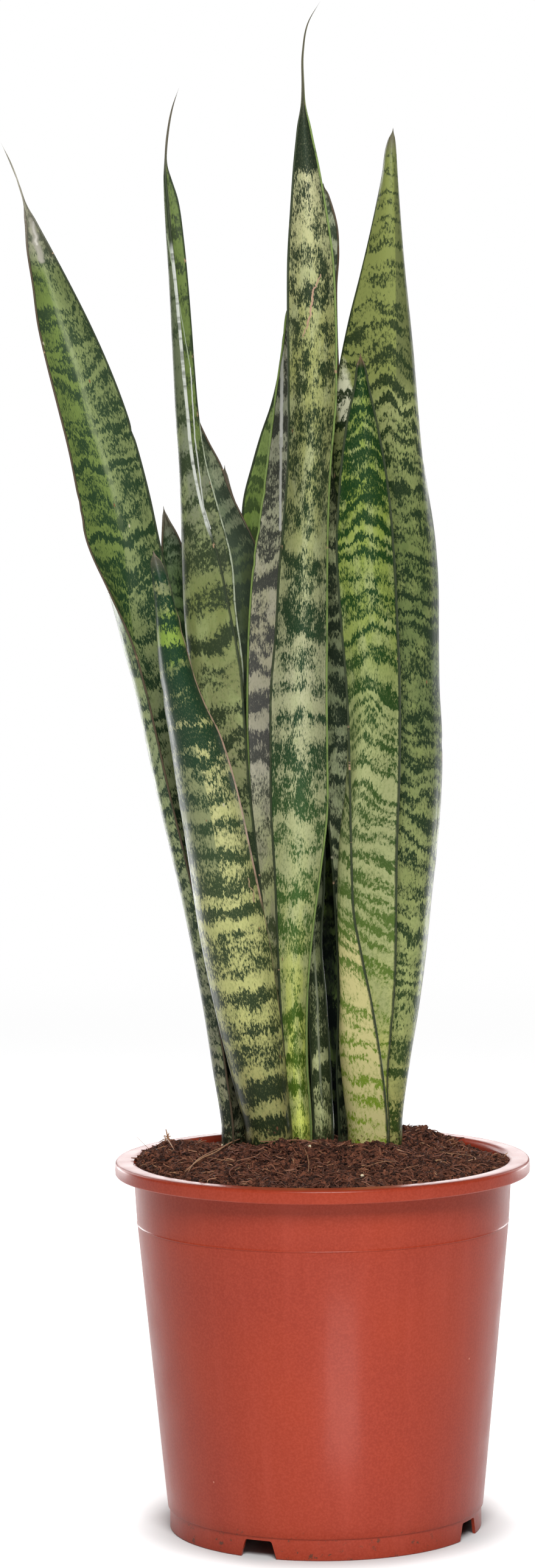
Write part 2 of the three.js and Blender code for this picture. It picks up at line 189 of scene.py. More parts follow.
class Graph(Nodes):
    """A material's node tree."""

    def __init__(self, name):
        self.material = bpy.data.materials.new(name)
        self.material.use_nodes = True
        super().__init__(self.material.node_tree)
        self.shader = self.tree.nodes["Principled BSDF"]

    def shade(self, values):
        """Gives each named socket of the shader its value."""
        for name, value in values.items():
            self.put(self.shader.inputs[name], value)

    def attribute(self, name):
        return self.add("ShaderNodeAttribute", {}, attribute_name=name).outputs

    def place(self):
        """Object coordinates, in metres."""
        return self.add("ShaderNodeTexCoord", {}).outputs["Object"]

    def noise(self, vector, detail=2.0, roughness=0.5, scale=1.0):
        inputs = {"Vector": vector, "Scale": scale, "Detail": detail, "Roughness": roughness}
        return self.add("ShaderNodeTexNoise", inputs).outputs[0]

    def noise_line(self, along):
        inputs = {"W": along, "Scale": 1.0, "Detail": 1.0, "Roughness": 0.5}
        return self.add("ShaderNodeTexNoise", inputs, noise_dimensions="1D").outputs[0]

    def spread(self, value, amount):
        """A noise value about 0.5 turned to a swing about 0, of that size."""
        return self.times(self.minus(value, 0.5), amount)

    def gloss(self, noise, smoothest, roughest):
        """A roughness that follows a noise value."""
        return self.ranged(noise, 0.3, 0.7, smoothest, roughest)

    def spots(self, vector, scale, share, outer, inner):
        """1 on a round spot in some of the cells that fill space, and another random value per cell."""
        cells = self.add("ShaderNodeTexVoronoi", {"Vector": vector, "Scale": scale})
        random = self.split(cells.outputs["Color"])
        chosen = self.math("GREATER_THAN", random[0], share)
        return self.times(self.rise(cells.outputs["Distance"], outer, inner), chosen), random[1]

    def mix(self, share, first, second):
        inputs = {0: share, 6: first, 7: second}
        return self.add("ShaderNodeMix", inputs, data_type="RGBA").outputs[2]

    def ramp(self, value, low, high, stops):
        """A colour, or a grey number, that follows value through stops of (value, colour)."""
        node = self.add("ShaderNodeValToRGB", {0: self.ranged(value, low, high)})
        band = node.color_ramp
        while len(band.elements) < len(stops):
            band.elements.new(0.5)
        for element, (at, colour) in zip(band.elements, stops):
            element.position = (at - low) / (high - low)
            grey = not hasattr(colour, "__len__")
            element.color = (colour, colour, colour, 1) if grey else (*colour, 1)
        return node.outputs[0]

    def bump(self, height, strength, distance):
        inputs = {"Height": height, "Strength": strength, "Distance": distance}
        self.put(self.shader.inputs["Normal"], self.add("ShaderNodeBump", inputs).outputs[0])


def link_piece(name, mesh, material, slot, *nodes):
    """A finished piece in the scene, riding on the one body and standing for its CAD nodes."""
    piece = add_object(name, mesh)
    mesh.materials.clear()
    mesh.materials.append(material)
    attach(piece, "root")
    if nodes:
        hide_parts(*nodes)


def smooth(mesh, angle=None):
    """Shades a mesh smoothly, with edges that turn by more than the angle, in degrees, kept sharp."""
    mesh.polygons.foreach_set("use_smooth", [True] * len(mesh.polygons))
    if angle:
        mesh.set_sharp_from_angle(angle=math.radians(angle))


def set_tint(mesh, value):
    """Sets how light the colour of soil or straw is, all over a mesh."""
    tint = mesh.attributes.new("tint", "FLOAT", "POINT")
    tint.data.foreach_set("value", [value] * len(mesh.vertices))


# ---- The leaves' shape ----

# How near two points of the CAD mesh, or two levels of it, are the same, and how far a new level is.
SAME_POINT = 0.005
SAME_LEVEL = 0.02
NEXT_LEVEL = 0.03
RING_POINTS = 14
FACE_SPANS = 24
MARGIN_SPANS = 4
LEVELS_PER_MM = 0.42
# How much closer the levels lie towards the tip, and the share of the last ring that the tip keeps.
TIP_CROWDING = 1.25
TIP_SHARE = 0.15
MARGIN_BULGE = 0.7


def leaf_rings(node):
    """The rings that a leaf's CAD solid is lofted through, from its foot up, each in order round the leaf
    and starting at the left end of its front face, and the point of its tip."""
    bm = bmesh.new()
    bm.from_mesh(frame["nodes"][node].data)
    bmesh.ops.remove_doubles(bm, verts=bm.verts, dist=SAME_POINT * MM)
    heights = sorted({round(vertex.co.z, 5) for vertex in bm.verts})
    levels = [heights[0]]
    for height in heights:
        if height - levels[-1] > NEXT_LEVEL * MM:
            levels.append(height)
    rings = []
    for level in levels[1:-1]:
        start = next(vertex for vertex in bm.verts if abs(vertex.co.z - level) < SAME_LEVEL * MM)
        rings.append(walk_ring(start))
    top = [vertex.co for vertex in bm.verts if abs(vertex.co.z - levels[-1]) < SAME_LEVEL * MM]
    tip = np.mean([list(point) for point in top], axis=0)
    bm.free()
    widest = max(range(len(rings)), key=lambda i: np.ptp(rings[i], axis=0).max())
    rings[widest] = front_first(rings[widest])
    for i in range(widest - 1, -1, -1):
        rings[i] = turned_like(rings[i], rings[i + 1])
    for i in range(widest + 1, len(rings)):
        rings[i] = turned_like(rings[i], rings[i - 1])
    foot = rings[0].copy()
    foot[:, 2] = levels[0]
    return np.array([foot, *rings]), tip


def walk_ring(start):
    """The points of one level, walked round counter-clockwise along its level edges."""
    ring = [start]
    while True:
        ends = [edge.other_vert(ring[-1]) for edge in ring[-1].link_edges]
        level = [end for end in ends if abs(end.co.z - start.co.z) < SAME_LEVEL * MM]
        new = [end for end in level if end not in ring]
        if not new:
            break
        ring.append(new[0])
    points = np.array([list(vertex.co) for vertex in ring])
    x, y = points[:, 0], points[:, 1]
    area = np.sum(x * np.roll(y, -1) - np.roll(x, -1) * y)
    return points if area > 0 else points[::-1]


def front_first(ring):
    """The ring started at the left end of its front face: its two shortest edges are the margins."""
    edges = np.linalg.norm(np.roll(ring, -1, axis=0) - ring, axis=1)
    half = RING_POINTS // 2
    margin = int(np.argmin(edges + np.roll(edges, half)))
    starts = [(margin + 1) % RING_POINTS, (margin + 1 + half) % RING_POINTS]
    faces = [np.roll(ring, -start, axis=0) for start in starts]
    return min(faces, key=lambda face: face[:half, 1].mean())


def turned_like(ring, neighbour):
    """The ring started at the point that best matches its neighbour's start."""
    shifts = [np.roll(ring, -shift, axis=0) for shift in range(RING_POINTS)]
    centred = neighbour - neighbour.mean(axis=0)
    return min(shifts, key=lambda turned: np.abs(turned - turned.mean(axis=0) - centred).sum())


def smooth_through(places, values, at):
    """Values at new places on a smooth curve through the given ones, along the first axis."""
    places = np.asarray(places, float)
    slopes = np.gradient(values, places, axis=0)
    index = np.clip(np.searchsorted(places, at, side="right") - 1, 0, len(places) - 2)
    span = places[index + 1] - places[index]
    shape = (-1,) + (1,) * (values.ndim - 1)
    t = ((at - places[index]) / span).reshape(shape)
    span = span.reshape(shape)
    low, high = values[index], values[index + 1]
    start, end = slopes[index] * span, slopes[index + 1] * span
    curve = (2 * t**3 - 3 * t**2 + 1) * low + (t**3 - 2 * t**2 + t) * start
    return curve + (3 * t**2 - 2 * t**3) * high + (t**3 - t**2) * end


def swell(t):
    """A smooth step from 0 at 0 to 1 at 1."""
    t = np.clip(t, 0, 1)
    return t * t * (3 - 2 * t)


def leaf_grid(node, look):
    """Fine rings of a leaf, and for each of their points its place on the blade: millimetres across
    from the midrib, millimetres along, and millimetres in from the nearer margin."""
    rings, tip = leaf_rings(node)
    heights = rings[:, 0, 2]
    count = int((tip[2] - heights[1]) / MM * LEVELS_PER_MM)
    share = 1 - (1 - np.linspace(0, 1, count, endpoint=False)) ** TIP_CROWDING
    levels = np.concatenate([[heights[0]], heights[1] + (tip[2] - heights[1]) * share])
    tip_ring = tip + TIP_SHARE * (rings[-1] - rings[-1].mean(axis=0))
    tip_ring[:, 2] = tip[2]
    every = np.concatenate([rings, [tip_ring]])
    outline = smooth_through(every[:, 0, 2], every, levels)

    half = RING_POINTS // 2
    across = np.linspace(0, half - 1, FACE_SPANS + 1)
    front = np.moveaxis(smooth_through(range(half), np.moveaxis(outline[:, :half], 1, 0), across), 0, 1)
    back = np.moveaxis(smooth_through(range(half), np.moveaxis(outline[:, half:], 1, 0), across), 0, 1)

    rib = (front[:, FACE_SPANS // 2] + back[:, FACE_SPANS // 2]) / 2
    front, back = slimmed_and_nicked(front, back, rib, look)
    rib_up = np.gradient(rib, axis=0)
    rib_up /= np.linalg.norm(rib_up, axis=1, keepdims=True)
    rib_length = np.concatenate([[0], np.cumsum(np.linalg.norm(np.diff(rib, axis=0), axis=1))])
    widths = [np.linalg.norm(np.diff(face, axis=1), axis=2).sum(axis=1) for face in (front, back)]
    width = (widths[0] + widths[1]) / 2

    right = margin_arc(front[:, -1], back[:, 0], front[:, -2])
    left = margin_arc(back[:, -1], front[:, 0], back[:, -2])
    points = np.concatenate([front, right, back, left], axis=1)
    t = np.linspace(0, 1, FACE_SPANS + 1) - 0.5
    edge = np.full(MARGIN_SPANS - 1, 0.5)
    across_share = np.concatenate([t, edge, -t, -edge])
    across_mm = across_share[None, :] * width[:, None] / MM
    lean = np.einsum("lpk,lk->lp", points - rib[:, None, :], rib_up)
    along_mm = (rib_length[:, None] + lean) / MM
    inward_mm = width[:, None] / 2 / MM - np.abs(across_mm)
    return points, np.stack([across_mm, along_mm, inward_mm], axis=2), tip


def slimmed_and_nicked(front, back, rib, look):
    """The faces slimmed along the tip, and with their margins drawn in where the leaf is nicked."""
    heights = front[:, 0, 2] / MM
    top = heights.max()
    from_tip = top - heights
    # Every leaf narrows over its last 5 mm. An awn starts with a narrowing to half and then tapers on.
    slim = 0.3 + 0.7 * swell(from_tip / 5)
    awn = look["awn"]
    if awn:
        slim *= 1 - 0.5 * swell((1.15 * awn - from_tip) / (0.3 * awn))
        slim *= 0.4 + 0.6 * swell(from_tip / (0.8 * awn))
    middle = rib[:, None, :]
    front = middle + (front - middle) * slim[:, None, None]
    back = middle + (back - middle) * slim[:, None, None]
    for side, height, reach, depth in look["nicks"]:
        pull = depth * np.exp(-(((heights - height) / reach) ** 2))
        end = -1 if side == "right" else 0
        ends = (front[:, end] + back[:, -1 - end]) / 2
        towards = rib - ends
        length = np.linalg.norm(towards, axis=1, keepdims=True)
        step = towards / np.maximum(length, MM) * pull[:, None] * MM
        share = np.linspace(0, 1, FACE_SPANS + 1)
        share = share if side == "right" else share[::-1]
        weight = np.clip((share - 0.5) * 2, 0, 1) ** 2
        front = front + step[:, None, :] * weight[None, :, None]
        back = back + step[:, None, :] * weight[None, ::-1, None]
    return front, back


def margin_arc(start, end, before):
    """Points that round the margin between the two faces."""
    centre = (start + end) / 2
    radius = (start - end) / 2
    outwards = start - before
    share = np.sum(outwards * radius, 1) / np.maximum(np.sum(radius * radius, 1), 1e-18)
    outwards -= radius * share[:, None]
    length = np.linalg.norm(outwards, axis=1, keepdims=True)
    size = np.linalg.norm(radius, axis=1, keepdims=True)
    outwards = outwards / np.maximum(length, 1e-9) * size * MARGIN_BULGE
    angles = [math.pi * k / MARGIN_SPANS for k in range(1, MARGIN_SPANS)]
    arc = [centre + radius * math.cos(a) + outwards * math.sin(a) for a in angles]
    return np.stack(arc, axis=1)


def leaf_mesh(name, look):
    """A leaf's closed skin of fine rings, with the place on the blade of each of its points."""
    points, blade, tip = leaf_grid(name, look)
    levels, around = points.shape[:2]
    corners = [*points.reshape(-1, 3), tip]
    last = levels * around
    faces = []
    for level in range(levels - 1):
        for i in range(around):
            low, low_next = level * around + i, level * around + (i + 1) % around
            faces.append((low, low_next, low_next + around, low + around))
    top = (levels - 1) * around
    faces += [(top + i, top + (i + 1) % around, last) for i in range(around)]
    faces.append(tuple(range(around - 1, -1, -1)))
    mesh = bpy.data.meshes.new(name)
    mesh.from_pydata([tuple(corner) for corner in corners], [], faces)
    end_place = blade[-1].mean(axis=0) + (0, 1, 0)
    values = np.concatenate([blade.reshape(-1, 3), [end_place]])
    mesh.attributes.new("blade", "FLOAT_VECTOR", "POINT").data.foreach_set("vector", values.ravel())
    smooth(mesh)
    return mesh


# ---- The leaves' skin ----

# The heights that stops by height lie between, and the height of the soil round the leaves.
LOOK_LOW = 150
LOOK_HIGH = 780
SOIL_HEIGHT = 190

GREEN_EDGE = (0.15, 0.21, 0.06)
DARK_EDGE = (0.03, 0.04, 0.02)
BROWN_EDGE = (0.075, 0.055, 0.035)
CORK = (0.33, 0.22, 0.15)
CORKY_NICK = (0.30, 0.20, 0.12)
MARGIN_LINE = (0.012, 0.022, 0.010)
PALE_SCAR = (0.42, 0.40, 0.27)
RUST_SPOT = (0.17, 0.07, 0.035)
DRIED_DARK = (0.045, 0.04, 0.03)
SPLASHED_SOIL = (0.06, 0.03, 0.018)


class LeafGraph(Graph):
    """A leaf's material, with the places on it in millimetres: u across the blade from its midrib, v
    along it, 'inward' from its nearer margin, and x and z as seen from the front."""

    def __init__(self, name, seed):
        super().__init__(name)
        self.seed = seed
        self.u, self.v, self.inward = self.split(self.attribute("blade")["Vector"])
        self.x, _, self.z = (self.times(axis, 1000.0) for axis in self.split(self.place()))

    def half(self, side):
        """1 on one side of the midrib and 0 on the other."""
        return self.rise(self.u, -0.5, 0.5) if side == "right" else self.rise(self.u, 0.5, -0.5)

    def stretched(self, across, along, offset):
        """A place on the blade in steps of a grain: so many millimetres across, so many along."""
        return self.join(self.over(self.u, across), self.over(self.v, along), self.seed + offset)

    def grain(self, across, along, offset, detail, roughness=0.5):
        """Noise on the blade. Each use has its own offset from the leaf's seed, and so its own pattern."""
        return self.noise(self.stretched(across, along, offset), detail, roughness)

    def swing(self, amount, *grain):
        """A grain as a swing about 0."""
        return self.spread(self.grain(*grain), amount)

    def by_height(self, stops):
        """A colour, or a number, that follows stops of (height, colour)."""
        return self.ramp(self.z, LOOK_LOW, LOOK_HIGH, stops)

    def between(self, low, high, fade_low, fade_high):
        """1 between two heights and 0 beyond them, with soft ends."""
        over_low = self.rise(self.z, low - fade_low, low + fade_low)
        return self.times(over_low, self.rise(self.z, high + fade_high, high - fade_high))

    def stroke(self, start, end, width, waver):
        """1 on a line between two points of the leaf's front and 0 off it. It wavers from side to side."""
        run_x, run_z = end[0] - start[0], end[1] - start[1]
        squared = run_x**2 + run_z**2
        dx, dz = self.minus(self.x, start[0]), self.minus(self.z, start[1])
        along = self.plus(self.times(dx, run_x / squared), self.times(dz, run_z / squared))
        share = self.math("MINIMUM", self.math("MAXIMUM", along, 0.0), 1.0)
        off_x, off_z = self.minus(dx, self.times(share, run_x)), self.minus(dz, self.times(share, run_z))
        wander = self.spread(self.noise(self.join(self.over(self.z, 5.0), 0.0, start[0]), 3.0), waver)
        return self.rise(self.length(self.plus(off_x, wander), off_z), width, 0.3 * width)

    def patch(self, centre, reach):
        """1 in a soft, ragged patch of the leaf's front, given its centre and half its size."""
        across = self.over(self.minus(self.x, centre[0]), reach[0])
        along = self.over(self.minus(self.z, centre[1]), reach[1])
        place = self.join(self.over(self.x, 5.0), self.seed, self.over(self.z, 9.0))
        uneven = self.spread(self.noise(place, 3.0, 0.6), 1.4)
        return self.rise(self.plus(self.length(across, along), uneven), 1.15, 0.55)


def banding(g, look):
    """How dark each place is: under about a third bare tissue, over a half a band or a fleck."""
    wave = g.swing(2 * look["wave"], 17.0, 34.0, 0.0, 1.0)
    ragged = g.swing(2 * look["ragged"], 1.5, 4.4, 3.1, 4.0, 0.62)
    lean = g.math("ABSOLUTE", g.minus(g.u, look["crest"]))
    bent = g.plus(g.v, wave, ragged, g.times(lean, look["sag"]))
    steps = g.over(bent, look["period"])
    random_band = g.noise_line(g.plus(g.times(steps, 1.9), 7.7 * g.seed))
    drift = g.spread(g.noise_line(g.plus(g.times(steps, 0.31), g.seed)), 9.0)
    even_band = g.math("SINE", g.plus(g.times(steps, math.tau), drift))
    even_band = g.plus(g.times(even_band, 0.2), 0.5)
    order = look["order"]
    band = g.plus(g.times(random_band, 1 - order), g.times(even_band, order))
    band = g.spread(band, look["weight"])
    fleck = g.swing(look["fleck"], 0.9, 2.1, 5.7, 3.0, 0.66)
    blotch = g.swing(look["blotch"], 9.0, 12.0, 8.3, 2.0)
    return g.plus(band, fleck, g.plus(blotch, g.by_height(look["tone"])))


def leaf_skin(name, look, seed):
    """The banded skin of one leaf: pale tissue, ragged dark cross-bands, margins, scars, painted
    highlights and a dry tip.
    """
    g = LeafGraph(name + "_skin", seed)
    value = banding(g, look)
    dark = g.rise(value, 0.465, 0.54)
    near = g.rise(value, 0.36, 0.5)

    pale = g.by_height(look["pale"])
    deep = g.by_height(look["deep"])
    cloud = g.grain(8.0, 22.0, 11.9, 2.0)
    pale = g.mix(g.times(g.rise(cloud, 0.4, 0.7), 0.7), pale, look["wash"])
    mottle = g.grain(1.1, 1.9, 14.2, 3.0, 0.6)
    pale = g.mix(g.times(g.rise(mottle, 0.46, 0.72), 0.4), pale, look["grain"])
    # A darker half can be painted shade, where that side of the leaf turns away from the light.
    for low, high, side, colour in look["half_tints_and_shade"]:
        pale = g.mix(g.times(g.between(low, high, 12, 12), g.half(side)), pale, colour)
    for centre, reach, colour, strength in look["patches"]:
        pale = g.mix(g.times(g.patch(centre, reach), strength), pale, colour)
    dust = g.times(g.rise(g.grain(0.6, 1.5, 33.0, 2.0, 0.6), 0.54, 0.64), 0.24)
    skin = g.mix(g.times(near, 0.4), pale, deep)
    skin = g.mix(g.times(dark, g.minus(0.97, dust)), skin, deep)

    if look["rib"]:
        low, high, width, colour, strength = look["rib"]
        off = g.math("ABSOLUTE", g.plus(g.u, g.spread(g.noise_line(g.over(g.v, 30.0)), 3.0)))
        stripe = g.times(g.rise(off, width, 0.25 * width), g.between(low, high, 20, 20), strength)
        skin = g.mix(stripe, skin, colour)
    for start, end, width, colour in look["scratches"]:
        skin = g.mix(g.stroke(start, end, width, 5.0), skin, colour)
    # Painted highlights: pale lines where the waxy skin catches the light along its folds and margins.
    for points, width, colour in look["painted_glints"]:
        for start, end in zip(points, points[1:]):
            skin = g.mix(g.stroke(start, end, width, 0.8), skin, colour)
    skin = margin_colours(g, skin, look)
    skin = specks(g, skin)

    dry_colour = g.mix(g.grain(0.5, 12.0, 21.0, 2.0), DRIED_DARK, look["dry_pale"])
    skin = g.mix(g.by_height(look["dry"]), skin, dry_colour)
    splash = g.grain(1.3, 1.6, 30.0, 3.0, 0.6)
    low_down = g.rise(g.z, SOIL_HEIGHT + 26, SOIL_HEIGHT - 4)
    dirt = g.rise(g.plus(splash, g.times(low_down, 0.13)), 0.66, 0.76)
    skin = g.mix(g.times(dirt, g.rise(low_down, 0.0, 0.3)), skin, SPLASHED_SOIL)

    roughness = g.gloss(g.grain(3.0, 12.0, 25.0, 2.0), 0.30, 0.44)
    g.shade({"Base Color": skin, "Roughness": roughness, "Specular IOR Level": 0.11})
    ridges = g.grain(0.5, 45.0, 17.0, 2.0)
    g.bump(g.plus(ridges, g.times(mottle, 0.35)), 0.3, 0.0003)
    return g.material


def margin_colours(g, skin, look):
    """A dark line just inside each margin, the margin's own colour, corky nicks, and scars and painted
    highlights along it.
    """
    left, right = look["margins"]
    inward = g.plus(g.inward, g.swing(0.9, 40.0, 7.0, 41.0, 3.0, 0.6))
    skin = g.mix(g.times(g.rise(inward, 0.85, 0.35), look["line"]), skin, MARGIN_LINE)
    skin = g.mix(g.rise(inward, 0.3, 0.0), skin, g.mix(g.half("right"), left, right))
    cork = g.grain(4.0, 9.0, 47.0, 4.0, 0.62)
    nick = g.times(g.rise(cork, 0.64, 0.70), g.rise(inward, 1.0, 0.4))
    skin = g.mix(nick, skin, CORKY_NICK)
    for side, low, high, width, colour in look["edge_scars_and_highlights"]:
        broken = g.rise(g.grain(30.0, 6.0, 51.0, 3.0, 0.6), 0.36, 0.5)
        there = g.times(g.between(low, high, 6, 4), g.half(side), g.plus(g.times(broken, 0.6), 0.4))
        skin = g.mix(g.times(there, g.rise(inward, width, 0.6 * width)), skin, colour)
    return skin


def specks(g, skin):
    """Sparse small pale scars and rust spots."""
    spot, chance = g.spots(g.stretched(9.0, 16.0, 61.0), 1.0, 0.62, 0.075, 0.045)
    colour = g.mix(g.math("GREATER_THAN", chance, 0.6), PALE_SCAR, RUST_SPOT)
    return g.mix(g.times(spot, 0.8), skin, colour)


# How each leaf looks. Heights are above the floor, and a place on a leaf's front is (across, height).
#
# pale, deep: the colours of the tissue and of the bands, each as stops of (height, colour).
# tone: how dark the banding is at each height, where 0.5 is even.
# dry, dry_pale: how far the leaf has dried at each height, and the lightest colour of what has dried.
# period, order, weight: the bands' spacing, how regular it is, and how strong they are.
# wave, ragged: how far the bands swing in long waves and in small jags.
# sag, crest: how the bands slope to both sides of a line that lies so far across from the midrib.
# fleck, blotch: how strong the small flecks and the wide dark clouds are.
# wash, grain: the colours that cloud and speckle the tissue.
# halves: a colour of the tissue between two heights on one side of the midrib; one of them is painted
# shade.
# patches: soft spots of another colour: centre, half size, colour and strength.
# rib: a stripe along the midrib: two heights, half its width, colour and strength.
# scratches, glints: lines on the leaf's front, with half their width and their colour. The glints
# are painted highlights.
# margins, line: the left and right margins' colours, and how strong the dark line inside them is.
# edge marks: scars and painted highlights along a margin: side, two heights, width and colour.
# awn: how long the thin dry tip is.
# nicks: notches in a margin: side, height, half their length, and depth.
ORDINARY_LOOK = {
    "period": 12, "order": 0.3, "weight": 1.0, "wave": 10, "ragged": 6, "sag": 0.0, "crest": 0.0,
    "fleck": 0.45, "blotch": 0.4, "wash": (0.25, 0.29, 0.12), "grain": (0.10, 0.15, 0.04),
    "dry_pale": (0.17, 0.15, 0.11), "margins": (DARK_EDGE, DARK_EDGE), "line": 0.8, "awn": 0, "rib": None,
    "half_tints_and_shade": (), "patches": (), "scratches": (), "painted_glints": (), "edge_scars_and_highlights": (), "nicks": (),
}

